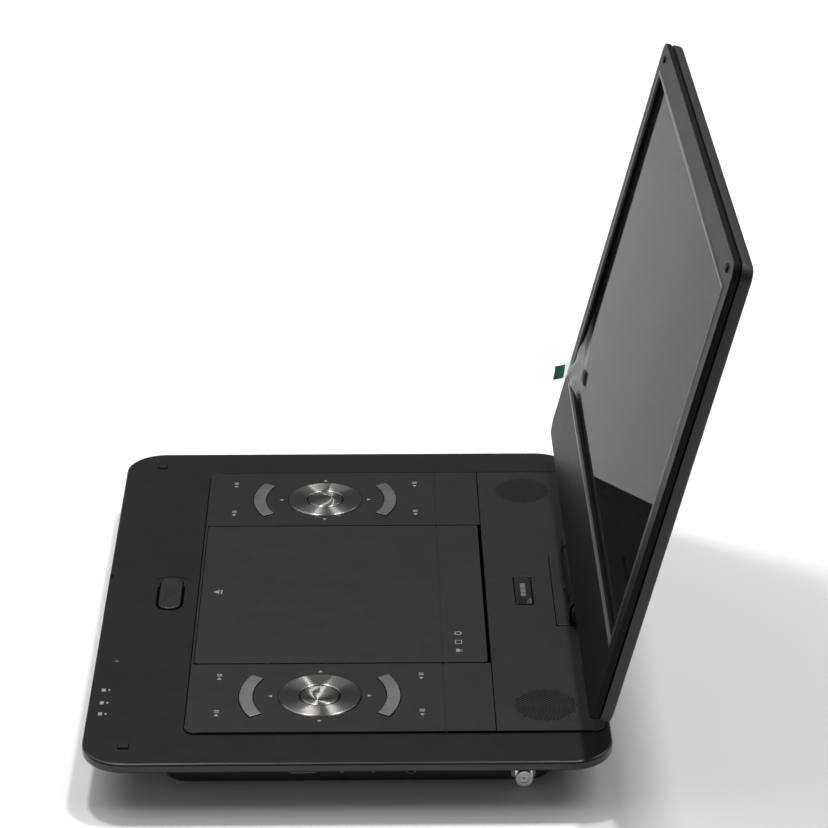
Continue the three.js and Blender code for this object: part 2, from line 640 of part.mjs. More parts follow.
function hingeTower() {
  const r = BARREL_RADIUS;
  const section = new THREE.Shape();
  section.moveTo(TOWER_BOTTOM + 1, TILT_Y - r);
  section.lineTo(TOWER_BOTTOM, TILT_Y - r + 1);
  section.lineTo(TOWER_BOTTOM, TILT_Y + r - 1);
  section.lineTo(TOWER_BOTTOM + 1, TILT_Y + r);
  section.absarc(TILT_Z, TILT_Y, r, Math.PI / 2, -Math.PI / 2, true);
  section.closePath();
  const width = 2 * TOWER_HALF_WIDTH;
  const geometry = new THREE.ExtrudeGeometry(section, {
    depth: width,
    bevelEnabled: false,
    curveSegments: 10,
  });
  geometry.rotateY(-Math.PI / 2);
  geometry.translate(TOWER_HALF_WIDTH, 0, 0);
  const postBore = drumZ(0, SWIVEL_Y, 4.8, 0, 36.2);
  const pinBores = SIDES.map(([, side]) => {
    const ends = [side * 27, side * (TOWER_HALF_WIDTH + 1)].sort((a, b) => a - b);
    return drumX(ends[0], ends[1], TILT_Y, TILT_Z, 2.5, 16);
  });
  return cut(solid(geometry), postBore, ...pinBores);
}
piece('hinge_tower', hingeTower(), BLACK_SATIN, swivel);

const ARM = { inner: 43.4, outer: 48.4, radius: 6.2 };
for (const [name, side] of SIDES) {
  const ends = [side * 28.5, side * (ARM.outer - 0.4)].sort((a, b) => a - b);
  piece(`tilt_pin_${name}`, drumX(ends[0], ends[1], 0, 0, 2.2, 16), STEEL, screen);
}

// ---------- screen ----------
function screenOutline(inset) {
  return roundedRect(-SCREEN_HALF_WIDTH + inset, SCREEN_BOTTOM + inset, SCREEN_HALF_WIDTH - inset,
    SCREEN_TOP - inset, SCREEN_CORNER - Math.min(inset, SCREEN_CORNER - 1));
}

const FACE_PAD = { x: 170, y: 267.3, halfWidth: 2.5, halfHeight: 1.6, sink: 1 };

function facePad(side, margin, bottom, top) {
  const x = side * FACE_PAD.x;
  const dx = FACE_PAD.halfWidth + margin;
  const dy = FACE_PAD.halfHeight + margin;
  return block(x - dx, FACE_PAD.y - dy, bottom, x + dx, FACE_PAD.y + dy, top);
}

function screenBezel() {
  const frame = plate(screenOutline(0), SCREEN_SEAM, SCREEN_FACE + 2, { edge: 2, edgeSteps: 2 });
  const proud = block(-200, 0, SCREEN_FACE, 200, 300, 20);
  const window = block(-WINDOW_HALF_WIDTH, WINDOW_BOTTOM, 0, WINDOW_HALF_WIDTH, WINDOW_TOP, 20);
  const pockets = SIDES.map(([, side]) => facePad(side, GAP, SCREEN_FACE - FACE_PAD.sink, 20));
  return cut(frame, proud, window, ...pockets);
}
piece('screen_bezel', screenBezel(), BLACK_SATIN, screen);

for (const [name, side] of SIDES) {
  const pad = facePad(side, 0, SCREEN_FACE - FACE_PAD.sink + GAP, SCREEN_FACE + 0.8);
  piece(`face_pad_${name}`, pad, RUBBER, screen);
}

function screenBack() {
  const shell = plate(screenOutline(0), SCREEN_BACK, SCREEN_SEAM + 3, { edge: 2.4 });
  const front = block(-200, 0, SCREEN_SEAM - GAP, 200, 300, 20);
  const hollow = plate(screenOutline(2.2), SCREEN_BACK + 1.7, 20);
  const arms = SIDES.map(([, side]) => {
    const [left, right] = [side * ARM.inner, side * ARM.outer].sort((a, b) => a - b);
    const knuckle = drumX(left, right, 0, 0, ARM.radius);
    const web = block(left, 0, SCREEN_BACK + 0.6, right, SCREEN_BOTTOM + 2, SCREEN_SEAM - GAP);
    return cut(join(knuckle, web), drumX(left - 1, right + 1, 0, 0, 2.5, 16));
  });
  return join(cut(shell, front, hollow), ...arms);
}
piece('screen_back', screenBack(), BLACK_SATIN, screen);

const FRAME_EDGE = 5.5;
function displayFrame() {
  const top = SCREEN_SEAM - GAP;
  const outer = block(-WINDOW_HALF_WIDTH - FRAME_EDGE, WINDOW_BOTTOM - FRAME_EDGE, -1,
    WINDOW_HALF_WIDTH + FRAME_EDGE, WINDOW_TOP + FRAME_EDGE, top);
  const inner = block(-WINDOW_HALF_WIDTH + 0.6, WINDOW_BOTTOM + 0.6, -5,
    WINDOW_HALF_WIDTH - 0.6, WINDOW_TOP - 0.6, 10);
  return cut(outer, inner);
}
piece('display_frame', displayFrame(), BLACK_MATT, screen);

const display = block(-WINDOW_HALF_WIDTH + 0.9, WINDOW_BOTTOM + 0.9, -1,
  WINDOW_HALF_WIDTH - 0.9, WINDOW_TOP - 0.9, GLASS_FACE);
piece('display_glass', display, GLASS, screen);

function screenFilm() {
  const half = WINDOW_HALF_WIDTH - 1.2;
  const bottom = GLASS_FACE + GAP;
  const sheet = block(-half, WINDOW_BOTTOM + 1.2, bottom, half, WINDOW_TOP - 1.2, bottom + GAP);
  const riser = block(-half, 54, bottom, -half + 0.4, 66, SCREEN_FACE + 0.7);
  const tab = block(-185, 54, SCREEN_FACE + GAP, -half + 0.4, 66, SCREEN_FACE + 0.7);
  return join(sheet, riser, tab);
}
piece('screen_film', screenFilm(), FILM, screen);

// ---------- origin: middle of the bounding box, on the table ----------
player.updateMatrixWorld(true);
const bounds = new THREE.Box3().setFromObject(player, true);
player.position.set(0, -(bounds.min.y + bounds.max.y) / 2, -bounds.min.z);

export default player;
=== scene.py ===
"""A portable DVD player with a swivelling screen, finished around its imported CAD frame.

The frame is in metres, +Z up, with the origin at the middle of the resting surface. Sizes here are
in the design's own millimetres: at() turns a place on the base into the frame, and SCREEN does the
same for a place on the screen (x across it, y up it, z out of its face).
"""

import json
import math

import bmesh
import bpy
from mathutils import Matrix, Vector


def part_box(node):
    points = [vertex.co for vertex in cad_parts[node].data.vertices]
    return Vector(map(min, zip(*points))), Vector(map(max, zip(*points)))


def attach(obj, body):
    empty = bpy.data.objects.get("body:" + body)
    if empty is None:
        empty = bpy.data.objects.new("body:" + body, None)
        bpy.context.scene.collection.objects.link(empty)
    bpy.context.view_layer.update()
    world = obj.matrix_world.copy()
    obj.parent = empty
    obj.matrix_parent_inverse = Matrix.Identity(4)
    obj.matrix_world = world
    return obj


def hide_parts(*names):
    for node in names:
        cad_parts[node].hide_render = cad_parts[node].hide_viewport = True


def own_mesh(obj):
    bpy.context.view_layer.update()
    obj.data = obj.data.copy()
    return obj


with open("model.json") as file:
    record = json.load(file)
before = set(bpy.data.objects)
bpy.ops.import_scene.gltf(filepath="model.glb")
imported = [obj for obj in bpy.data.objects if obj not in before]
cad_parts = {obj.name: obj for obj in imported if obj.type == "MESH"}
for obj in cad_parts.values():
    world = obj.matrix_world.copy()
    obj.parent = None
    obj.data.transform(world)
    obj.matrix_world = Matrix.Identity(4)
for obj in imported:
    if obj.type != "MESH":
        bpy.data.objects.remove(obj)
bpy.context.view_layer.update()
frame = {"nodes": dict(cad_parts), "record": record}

# ---------- design sizes, in millimetres ----------
MM = 0.001

# the base: heights of its faces, and the places of its controls
CASE_BOTTOM = 2.5
RIM_BOTTOM = 24
RIM_TOP = 29.5
PANEL_TOP = 30.5
PANEL_HALF_WIDTH = 161.5
PANEL_FRONT = -88.3
PANEL_REAR = 139
PANEL_SPLIT = 80.1
# width and thickness of the near-black strips of painted shade along the panel's gaps
SHADE_LINE = 0.45
SHADE_LINE_THICKNESS = 0.05
LID_TOP = 30.6
OPEN_Y = -104.5
OPEN_TOP = 30.1
MODE_TOP = 31.0
PAD_X = 122.5
PAD_Y = -15.4
HUB_Y = -4
LENS_X = 27
DRIVE_TOP = 9.8
BOARD_TOP = 7.8
SPEAKER_X = 130
SPEAKER_Y = 93.6

# the dimpled speaker panel, with painted shade in its dimples, and its round clusters of holes, drawn as
# discs of painted shade
DIMPLE_PITCH = 1.7
CLUSTER_X = 134
CLUSTER_Y = 108
CLUSTER_RADIUS = 17
HOLE_RADIUS = 0.55

# the sockets on the right side
SIDE_FACE = 168
PORT_Z = 12
CARD_Y = -52
USB_Y = -24
AV_Y = -3
PHONES_Y = 14
DC_Y = 34
AERIAL_Y = 94.4
AERIAL_Z = 11.8

# the screen, which tilts about an axis above the hinge tower
TILT_Y = 134
TILT_Z = 39.5
SCREEN_ANGLE = math.radians(76)
SCREEN_FACE = 7.87
SCREEN_BACK = -3.13
GLASS_FACE = 4.87
WINDOW_HALF = 172.4
WINDOW_BOTTOM = 50.2
WINDOW_TOP = 257.1

# the protective film, whose corner at FOLD_END is lifted along FOLD_ALONG
FILM_HALF = 171.2
FILM_BOTTOM = 51.4
FILM_TOP = 255.9
FILM_LIE = GLASS_FACE + 0.33
FILM_LIFT = SCREEN_FACE + 0.43 - FILM_LIE
FILM_THICKNESS = 0.08
FOLD_END = Vector((-179.05, 52.15))
FOLD_ALONG = Vector((-0.758, -0.652))
FOLD_ACROSS = Vector((0.652, -0.758))
FOLD_LENGTH = 28.8
LIFT_RUN = 17
# the patch where the film shows reaches 1 / FILM_PATCH of a metre from FOLD_END
FILM_PATCH = 15

hub_low, hub_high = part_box("disc_hub")
ORIGIN_Y = (hub_low.y + hub_high.y) / 2 - HUB_Y * MM


def at(x, y, z):
    """A place on the base, from design millimetres to the frame."""
    return Vector((x * MM, y * MM + ORIGIN_Y, z * MM))


BASE = Matrix.Translation(at(0, 0, 0))
HINGE = Matrix.Translation(at(0, TILT_Y, TILT_Z))
SCREEN = HINGE @ Matrix.Rotation(SCREEN_ANGLE, 4, "X")
QUARTER_TURN = Matrix.Rotation(math.pi / 2, 4, "Y")


def side_socket(y, z=PORT_Z):
    """The place of a socket on the right side, with its own Z axis pointing out."""
    return Matrix.Translation(at(0, y, z)) @ QUARTER_TURN


body_of = {n: b for b, ns in frame["record"]["behaviour"]["bodies"].items() for n in ns}
slot_of = {p["node"]: p["material_slot"] for p in frame["record"]["subparts"]}

# ---------- camera and light, in metres and degrees ----------
CAMERA_PLACE = (1.5480, -0.0173, 0.8471)
CAMERA_TURN = (65.592, -0.104, 89.131)
CAMERA_LENS = 129.5
WORLD_STRENGTH = 0.14
LAMP_SIZE = (0.26, 0.2)
LAMP_WATTS = 24
CEILING_SIZE = (4.6, 3.2)
CEILING_WATTS = 58

camera_data = bpy.data.cameras.new("camera")
camera_data.lens = CAMERA_LENS
camera_data.sensor_width = 36
camera_data.clip_start = 0.05
camera = bpy.data.objects.new("camera", camera_data)
camera.location = CAMERA_PLACE
camera.rotation_euler = [math.radians(a) for a in CAMERA_TURN]
bpy.context.scene.collection.objects.link(camera)
bpy.context.scene.camera = camera
bpy.context.scene.view_settings.view_transform = "Standard"


def soft_box(name, place, turn, size, watts):
    """A rectangular light; with no turn it shines straight down."""
    light = bpy.data.lights.new(name, "AREA")
    light.shape = "RECTANGLE"
    light.size, light.size_y = size
    light.energy = watts
    lamp = bpy.data.objects.new(name, light)
    lamp.location = place
    lamp.rotation_euler = [math.radians(a) for a in turn]
    bpy.context.scene.collection.objects.link(lamp)


for end, sign in (("front", -1), ("rear", 1)):
    soft_box(f"lamp_{end}", (-0.85, sign * 0.42, 2.1), (0, 0, 0), LAMP_SIZE, LAMP_WATTS)
    soft_box(f"ceiling_{end}", (-1.1, sign * 2.3, 3.4), (0, 0, 0), CEILING_SIZE, CEILING_WATTS)
soft_box("near_fill", (2.2, -1.6, 1.4), (64, 0, 54), (1.2, 1.2), 3)

world = bpy.data.worlds.new("studio")
world.use_nodes = True
world.node_tree.nodes["Background"].inputs["Color"].default_value = (1, 1, 1, 1)
world.node_tree.nodes["Background"].inputs["Strength"].default_value = WORLD_STRENGTH
bpy.context.scene.world = world


# ---------- materials ----------
class Shader:
    """A Principled material whose colour, roughness and relief come from nodes."""

    def __init__(self, name, colour, roughness, metallic=0.0, **sockets):
        self.material = bpy.data.materials.new(name)
        self.material.use_nodes = True
        self.tree = self.material.node_tree
        self.surface = self.tree.nodes["Principled BSDF"]
        self.coordinates = self.add("ShaderNodeTexCoord").outputs["Object"]
        self.set("Base Color", (*colour, 1))
        self.set("Roughness", roughness)
        self.set("Metallic", metallic)
        for socket, value in sockets.items():
            self.set(socket.replace("_", " "), value)
        self.height = None

    def add(self, kind, **settings):
        node = self.tree.nodes.new(kind)
        for key, value in settings.items():
            setattr(node, key, value)
        return node

    def set(self, socket, value):
        self.surface.inputs[socket].default_value = value

    def link(self, output, target):
        self.tree.links.new(output, target)

    def moved(self, shift=(0, 0, 0), stretch=(1, 1, 1), turn=(0, 0, 0)):
        """Object coordinates, shifted, stretched and turned."""
        node = self.add("ShaderNodeMapping")
        self.link(self.coordinates, node.inputs["Vector"])
        node.inputs["Location"].default_value = shift
        node.inputs["Scale"].default_value = stretch
        node.inputs["Rotation"].default_value = turn
        return node.outputs["Vector"]

    def noise(self, grain_mm, detail=2.0, vector=None):
        node = self.add("ShaderNodeTexNoise")
        node.inputs["Scale"].default_value = 1000 / grain_mm
        node.inputs["Detail"].default_value = detail
        self.link(vector or self.coordinates, node.inputs["Vector"])
        return node.outputs["Fac"]

    def ramp(self, source, stops):
        """A colour ramp over a source, from two (position, colour) stops."""
        node = self.add("ShaderNodeValToRGB")
        self.link(source, node.inputs["Fac"])
        for element, (position, colour) in zip(node.color_ramp.elements, stops):
            element.position = position
            element.color = (*colour, 1)
        return node.outputs["Color"]

    def spread(self, source, low, high, socket="Roughness"):
        """The source's 0.3 to 0.7 becomes low to high on a socket."""
        node = self.add("ShaderNodeMapRange")
        self.link(source, node.inputs["Value"])
        node.inputs["From Min"].default_value = 0.3
        node.inputs["From Max"].default_value = 0.7
        node.inputs["To Min"].default_value = low
        node.inputs["To Max"].default_value = high
        self.link(node.outputs["Result"], self.surface.inputs[socket])

    def tint(self, source, dark, light, low=0.35, high=0.65):
        self.link(self.ramp(source, [(low, dark), (high, light)]), self.surface.inputs["Base Color"])

    def relief(self, source, depth_mm, strength=1.0):
        """Adds a bump to any that is already there."""
        node = self.add("ShaderNodeBump")
        node.inputs["Distance"].default_value = depth_mm * MM
        node.inputs["Strength"].default_value = strength
        self.link(source, node.inputs["Height"])
        if self.height:
            self.link(self.height, node.inputs["Normal"])
        self.height = node.outputs["Normal"]
        self.link(self.height, self.surface.inputs["Normal"])


def moulded(name, colour, roughness, grain_mm=0.45, depth_mm=0.012, variation=0.12, **sockets):
    """Moulded plastic: a fine spark texture, slow changes of tone and of gloss."""
    shader = Shader(name, colour, roughness, **sockets)
    dark = [c * (1 - variation) for c in colour]
    light = [c * (1 + variation) for c in colour]
    shader.tint(shader.noise(55, 3), dark, light)
    shader.spread(shader.noise(14, 3), roughness - 0.012, roughness + 0.012)
    shader.relief(shader.noise(grain_mm, 2), depth_mm)
    return shader


def plastic(name, colour, roughness, *grain, **sockets):
    return moulded(name, colour, roughness, *grain, **sockets).material


def dull(name, colour, roughness, shine):
    """A surface that hardly shines: rubber, or near-black painted shade for the inside of a gap, hole or
    groove.
    """
    return plastic(name, colour, roughness, 0.8, 0.03, 0.2, Specular_IOR_Level=shine)


def spun(name, colour, roughness):
    """Metal spun on a lathe: fine circles about the object's own Z axis."""
    shader = Shader(name, colour, roughness, 1.0, Anisotropic=0.95, Anisotropic_Rotation=0.25)
    rings = shader.add("ShaderNodeTexWave", wave_type="RINGS", rings_direction="Z")
    rings.inputs["Scale"].default_value = 420
    rings.inputs["Distortion"].default_value = 0.4
    shader.link(shader.coordinates, rings.inputs["Vector"])
    shader.tint(rings.outputs["Fac"], [c * 0.8 for c in colour], [c * 1.15 for c in colour], 0.2, 0.8)
    shader.relief(rings.outputs["Fac"], 0.01, 0.5)
    tangent = shader.add("ShaderNodeTangent", direction_type="UV_MAP", uv_map="spin")
    shader.link(tangent.outputs["Tangent"], shader.surface.inputs["Tangent"])
    return shader.material


def machined(name, colour, roughness, line_mm=0.25, stretch=(1, 1, 30)):
    """Bare metal with fine tool lines and slightly uneven gloss."""
    shader = Shader(name, colour, roughness, 1.0)
    lines = shader.noise(line_mm * 30, 4, shader.moved(stretch=stretch))
    shader.spread(lines, roughness - 0.06, roughness + 0.06)
    shader.tint(shader.noise(9, 3), [c * 0.86 for c in colour], [min(1, c * 1.08) for c in colour])
    shader.relief(lines, 0.004)
    return shader.material


def board_material():
    """A circuit board: solder mask with lighter tracks showing through it."""
    shader = Shader("board_green", (0.01, 0.07, 0.03), 0.35)
    tracks = shader.add("ShaderNodeTexBrick")
    tracks.inputs["Scale"].default_value = 190
    tracks.inputs["Mortar Size"].default_value = 0.012
    tracks.inputs["Color1"].default_value = (0.008, 0.075, 0.03, 1)
    tracks.inputs["Color2"].default_value = (0.012, 0.1, 0.04, 1)
    tracks.inputs["Mortar"].default_value = (0.03, 0.19, 0.07, 1)
    shader.link(shader.coordinates, tracks.inputs["Vector"])
    shader.link(tracks.outputs["Color"], shader.surface.inputs["Base Color"])
    shader.spread(shader.noise(6), 0.28, 0.42)
    shader.relief(tracks.outputs["Fac"], 0.03, 0.4)
    return shader.material


def display_material():
    """A dark panel behind smooth glass, with a slightly uneven tone and gloss."""
    shader = Shader("display_panel", (0.009, 0.009, 0.010), 0.02, IOR=1.063)
    shader.tint(shader.noise(110, 2), (0.0085, 0.0085, 0.0095), (0.0095, 0.0095, 0.0105))
    shader.spread(shader.noise(90, 2), 0.012, 0.028)
    return shader.material


def film_material():
    """Thin clear film that shows only round its lifted corner."""
    shader = Shader("clear_film", (0.55, 0.57, 0.58), 0.12, IOR=1.45)
    shader.spread(shader.noise(20, 3), 0.08, 0.2)
    lifted = shader.add("ShaderNodeTexGradient", gradient_type="SPHERICAL")
    shift = [-c * MM * FILM_PATCH for c in (FOLD_END.x, FOLD_END.y, FILM_LIE)]
    shader.link(shader.moved(shift, (FILM_PATCH,) * 3), lifted.inputs["Vector"])
    shader.spread(lifted.outputs["Fac"], 0, 0.34, "Alpha")
    return shader.material


def dimpled_material():
    """The panel's plastic with a staggered field of small moulded dimples, each with painted shade in its
    middle.
    """
    shader = moulded("satin_dimpled", SATIN, 0.34, 0.42, 0.010)
    dots = shader.add("ShaderNodeTexVoronoi", voronoi_dimensions="2D")
    dots.inputs["Scale"].default_value = 1000 / DIMPLE_PITCH
    dots.inputs["Randomness"].default_value = 0
    shader.link(shader.moved(turn=(0, 0, math.pi / 4)), dots.inputs["Vector"])
    hollow = shader.ramp(dots.outputs["Distance"], [(0.14, (0, 0, 0)), (0.3, (1, 1, 1))])
    shader.relief(hollow, 0.25, 0.9)
    # the dimples' middles are painted near-black: painted shade
    painted_dimple_shade = shader.ramp(dots.outputs["Distance"], [(0.16, (0.002, 0.002, 0.002)), (0.26, SATIN)])
    shader.link(painted_dimple_shade, shader.surface.inputs["Base Color"])
    return shader.material


SATIN = (0.0080, 0.0082, 0.0090)
RIM_BLACK = plastic("satin_rim", SATIN, 0.25, 0.5, 0.008)
PANEL_BLACK = plastic("satin_panel", (0.0085, 0.0087, 0.0094), 0.33, 0.42, 0.012)
DIMPLED_BLACK = dimpled_material()
LID_BLACK = plastic("satin_lid", (0.0105, 0.0107, 0.0114), 0.33, 0.42, 0.011)
BEZEL_BLACK = plastic("satin_bezel", (0.0085, 0.0087, 0.0092), 0.42, 0.42, 0.010, IOR=1.14)
# the bezel's black plastic, several times lighter on the window lip: a painted highlight
LIP_PAINTED_HIGHLIGHT = plastic("lip_painted_highlight", (0.055, 0.055, 0.056), 0.34, 0.5, 0.006, 0.06)
BACK_BLACK = plastic("satin_back", (0.0105, 0.0107, 0.0112), 0.48, 0.6, 0.022)
MATT_BLACK = plastic("matt_case", (0.0095, 0.0096, 0.0100), 0.55, 0.7, 0.03)
GLOSS_BLACK = plastic("gloss_cap", (0.008, 0.008, 0.009), 0.12, 1.4, 0.002, Coat_Weight=0.4)
RUBBER = dull("soft_rubber", (0.008, 0.008, 0.008), 0.75, 0.2)
# near-black painted shade, laid where gaps, holes, slots and grooves fall into shade
PAINTED_SHADE = dull("painted_shade", (0.002, 0.002, 0.002), 0.9, 0)
GREY_PLASTIC = plastic("grey_nylon", (0.16, 0.16, 0.165), 0.5, 0.6, 0.02)
WHITE_PLASTIC = plastic("white_insulator", (0.7, 0.7, 0.68), 0.35, 0.8, 0.01, 0.05)
PRINT = plastic("pale_print", (0.24, 0.24, 0.245), 0.5, 0.3, 0.004, 0.06)
INLAY = plastic("grey_inlay", (0.11, 0.11, 0.115), 0.42, 0.8, 0.006, 0.08)
BATTERY_WRAP = plastic("battery_wrap", (0.012, 0.013, 0.016), 0.28, 3.0, 0.02, 0.2)
SPEAKER_CONE = plastic("paper_cone", (0.02, 0.02, 0.02), 0.85, 0.6, 0.05, 0.25)
LENS = plastic("tinted_lens", (0.02, 0.03, 0.06), 0.06, 4, 0.001, 0.3, Coat_Weight=1.0)
TAB_GREEN = plastic("green_tab", (0.006, 0.075, 0.055), 0.32, 1.2, 0.02, 0.25)
DISPLAY = display_material()
FILM = film_material()
SPUN_METAL = spun("spun_gunmetal", (0.27, 0.26, 0.245), 0.28)
ARC_METAL = machined("brushed_gunmetal", (0.145, 0.139, 0.134), 0.5, 0.2, (1, 40, 1))
CHROME = machined("plated_chrome", (0.72, 0.72, 0.73), 0.10, 0.4)
STEEL = machined("turned_steel", (0.42, 0.42, 0.43), 0.32)
SCREW_STEEL = machined("dark_screw", (0.10, 0.10, 0.105), 0.38, 0.3)
COPPER = machined("gold_contact", (0.75, 0.52, 0.22), 0.25, 0.3)
BOARD = board_material()


# ---------- pieces ----------
def smooth(mesh, degrees=35):
    mesh.polygons.foreach_set("use_smooth", [True] * len(mesh.polygons))
    mesh.set_sharp_from_angle(angle=math.radians(degrees))


def mesh_from(name, bm, degrees=35):
    bmesh.ops.recalc_face_normals(bm, faces=bm.faces)
    mesh = bpy.data.meshes.new(name)
    bm.to_mesh(mesh)
    bm.free()
    smooth(mesh, degrees)
    return mesh


def place(name, mesh, material, body, matrix, slot):
    """A new piece from a mesh, riding on a body."""
    piece = bpy.data.objects.new(name, mesh)
    bpy.context.scene.collection.objects.link(piece)
    piece.matrix_world = matrix
    mesh.materials.append(material)
    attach(piece, body)
    return piece


def make(name, bm, material, body, matrix, slot, degrees=35):
    """A new piece from a bmesh, which is freed."""
    return place(name, mesh_from(name, bm, degrees), material, body, matrix, slot)


def bevel(piece, width_mm, degrees=30, segments=2):
    modifier = piece.modifiers.new("edges", "BEVEL")
    modifier.width = width_mm * MM
    modifier.segments = segments
    modifier.limit_method = "ANGLE"
    modifier.angle_limit = math.radians(degrees)
    modifier.harden_normals = True


def refine(node, material, edge_mm, degrees=30, origin=(0, 0, 0)):
    """A copy of a CAD node with merged faces and rounded edges, which stands for it."""
    bm = bmesh.new()
    bm.from_mesh(frame["nodes"][node].data)
    bmesh.ops.remove_doubles(bm, verts=bm.verts, dist=1e-6)
    bmesh.ops.dissolve_limit(
        bm, angle_limit=math.radians(0.6), verts=bm.verts, edges=bm.edges, delimit={"NORMAL"})
    matrix = Matrix.Translation(origin)
    bmesh.ops.transform(bm, matrix=matrix.inverted(), verts=bm.verts)
    points = [tuple(v.co) for v in bm.verts]
    index = {v: i for i, v in enumerate(bm.verts)}
    faces = [[index[v] for v in f.verts] for f in bm.faces]
    bm.free()
    mesh = bpy.data.meshes.new(node + "_fine")
    mesh.from_pydata(points, [], faces)
    smooth(mesh)
    piece = place(node + "_fine", mesh, material, body_of[node], matrix, slot_of[node])
    bevel(piece, edge_mm, degrees)
    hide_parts(node)
    return piece


def spin_uv(mesh):
    """A UV map whose U runs round the object's Z axis, for the direction of spun lines."""
    layer = mesh.uv_layers.new(name="spin")
    for polygon in mesh.polygons:
        first = None
        for loop in polygon.loop_indices:
            co = mesh.vertices[mesh.loops[loop].vertex_index].co
            turn = math.atan2(co.y, co.x) / math.tau
            if first is None:
                first = turn
            turn += round(first - turn)
            layer.data[loop].uv = (turn, math.hypot(co.x, co.y) * 20)


# ---------- shapes, added to a bmesh from sizes in millimetres ----------
def join_into(bm, shape, matrix):
    """Moves a bmesh by a matrix, adds it to another, and frees it."""
    bmesh.ops.transform(shape, matrix=matrix, verts=shape.verts)
    mesh = bpy.data.meshes.new("joined")
    shape.to_mesh(mesh)
    shape.free()
    bm.from_mesh(mesh)
    bpy.data.meshes.remove(mesh)


def box_into(bm, low, high, matrix=Matrix.Identity(4)):
    """A box between two corners."""
    size = [(b - a) * MM for a, b in zip(low, high)]
    middle = Vector([(a + b) / 2 * MM for a, b in zip(low, high)])
    made = bmesh.ops.create_cube(bm, size=1)
    shape = matrix @ Matrix.Translation(middle) @ Matrix.Diagonal((*size, 1))
    bmesh.ops.transform(bm, matrix=shape, verts=made["verts"])


def border_into(bm, left, front, right, rear, width, bottom, top):
    """Four bars along the inside of a rectangle."""
    bars = (
        ((left, front), (right, front + width)),
        ((left, rear - width), (right, rear)),
        ((left, front), (left + width, rear)),
        ((right - width, front), (right, rear)),
    )
    for low, high in bars:
        box_into(bm, (*low, bottom), (*high, top))


def ball_into(bm, x, y, z, radius, subdivisions):
    made = bmesh.ops.create_icosphere(bm, subdivisions=subdivisions, radius=radius * MM)
    bmesh.ops.translate(bm, verts=made["verts"], vec=Vector((x * MM, y * MM, z * MM)))


def flat_shape(bm, points, z, thickness=0.03):
    """A thin plate with an outline of (x, y) points."""
    low = [bm.verts.new((x * MM, y * MM, z * MM)) for x, y in points]
    high = [bm.verts.new((x * MM, y * MM, (z + thickness) * MM)) for x, y in points]
    bm.faces.new(high)
    bm.faces.new(list(reversed(low)))
    count = len(points)
    for i in range(count):
        j = (i + 1) % count
        bm.faces.new([low[i], low[j], high[j], high[i]])


def strip_into(bm, left, front, right, rear, z, thickness=0.03):
    """A thin rectangle."""
    flat_shape(bm, [(left, front), (right, front), (right, rear), (left, rear)], z, thickness)


def triangle_into(bm, x, y, size, toward, z):
    """A thin triangle whose tip points toward an angle."""
    turns = (toward, toward + math.tau / 3, toward - math.tau / 3)
    flat_shape(bm, [(x + size * math.cos(t), y + size * math.sin(t)) for t in turns], z)


def band_into(bm, path, width, z):
    """A flat band along a path of (x, y) points, on its right."""
    for (ax, ay), (bx, by) in zip(path, path[1:]):
        run = math.hypot(bx - ax, by - ay)
        nx = (by - ay) / run * width
        ny = -(bx - ax) / run * width
        flat_shape(bm, [(ax, ay), (bx, by), (bx + nx, by + ny), (ax + nx, ay + ny)], z, 0.04)


def arc_points(x, y, radius, start, end, steps):
    """Places along an arc about (x, y), from one angle to another in degrees."""
    turns = [math.radians(start + (end - start) * i / steps) for i in range(steps + 1)]
    return [(x + radius * math.cos(t), y + radius * math.sin(t)) for t in turns]


def lathe(profile, steps=32):
    """A solid of revolution about Z from (radius, height) points."""
    bm = bmesh.new()
    rings = []
    for radius, height in profile:
        if radius < 1e-6:
            rings.append([bm.verts.new((0, 0, height * MM))])
            continue
        turns = [math.tau * step / steps for step in range(steps)]
        rings.append([
            bm.verts.new((radius * MM * math.cos(t), radius * MM * math.sin(t), height * MM))
            for t in turns])
    for low, high in zip(rings, rings[1:]):
        for step in range(steps):
            following = (step + 1) % steps
            corners = [low[step % len(low)], low[following % len(low)],
                       high[following % len(high)], high[step % len(high)]]
            unique = list(dict.fromkeys(corners))
            if len(unique) > 2:
                bm.faces.new(unique)
    return bm


def sheet_mesh(name, rows, thickness):
    """A thin closed sheet over a grid of (x, y, z) points."""
    bm = bmesh.new()
    grid = [[bm.verts.new([c * MM for c in point]) for point in row] for row in rows]
    for near, far in zip(grid, grid[1:]):
        for i in range(len(near) - 1):
            bm.faces.new((near[i], near[i + 1], far[i + 1], far[i]))
    bmesh.ops.recalc_face_normals(bm, faces=bm.faces)
    bmesh.ops.solidify(bm, geom=bm.faces[:], thickness=thickness * MM)
    return mesh_from(name, bm, 60)


# ---------- CAD nodes that keep their shape, with rounded edges ----------
refine("top_cover", RIM_BLACK, 0.4, degrees=18)
refine("rim_tray", RIM_BLACK, 0.3)
refine("control_panel", PANEL_BLACK, 0.3)
refine("speaker_panel", DIMPLED_BLACK, 0.3)
refine("hinge_plate", PANEL_BLACK, 0.5)
refine("disc_lid", LID_BLACK, 0.25)
refine("open_button", PANEL_BLACK, 0.45)
refine("mode_button", GLOSS_BLACK, 0.45)
refine("hinge_tower", BEZEL_BLACK, 0.4)
refine("screen_bezel", BEZEL_BLACK, 0.22)
refine("screen_back", BACK_BLACK, 0.3)
refine("display_frame", MATT_BLACK, 0.15)
refine("display_glass", DISPLAY, 0.2)
refine("lower_case", MATT_BLACK, 0.3)
refine("battery_door", MATT_BLACK, 0.3)
refine("disc_bay", MATT_BLACK, 0.3)
refine("disc_hub", MATT_BLACK, 0.2)
refine("drive_frame", STEEL, 0.2)
refine("spindle_motor", STEEL, 0.3)
refine("sled_motor", STEEL, 0.3)
refine("guide_rod_front", STEEL, 0.15)
refine("guide_rod_rear", STEEL, 0.15)
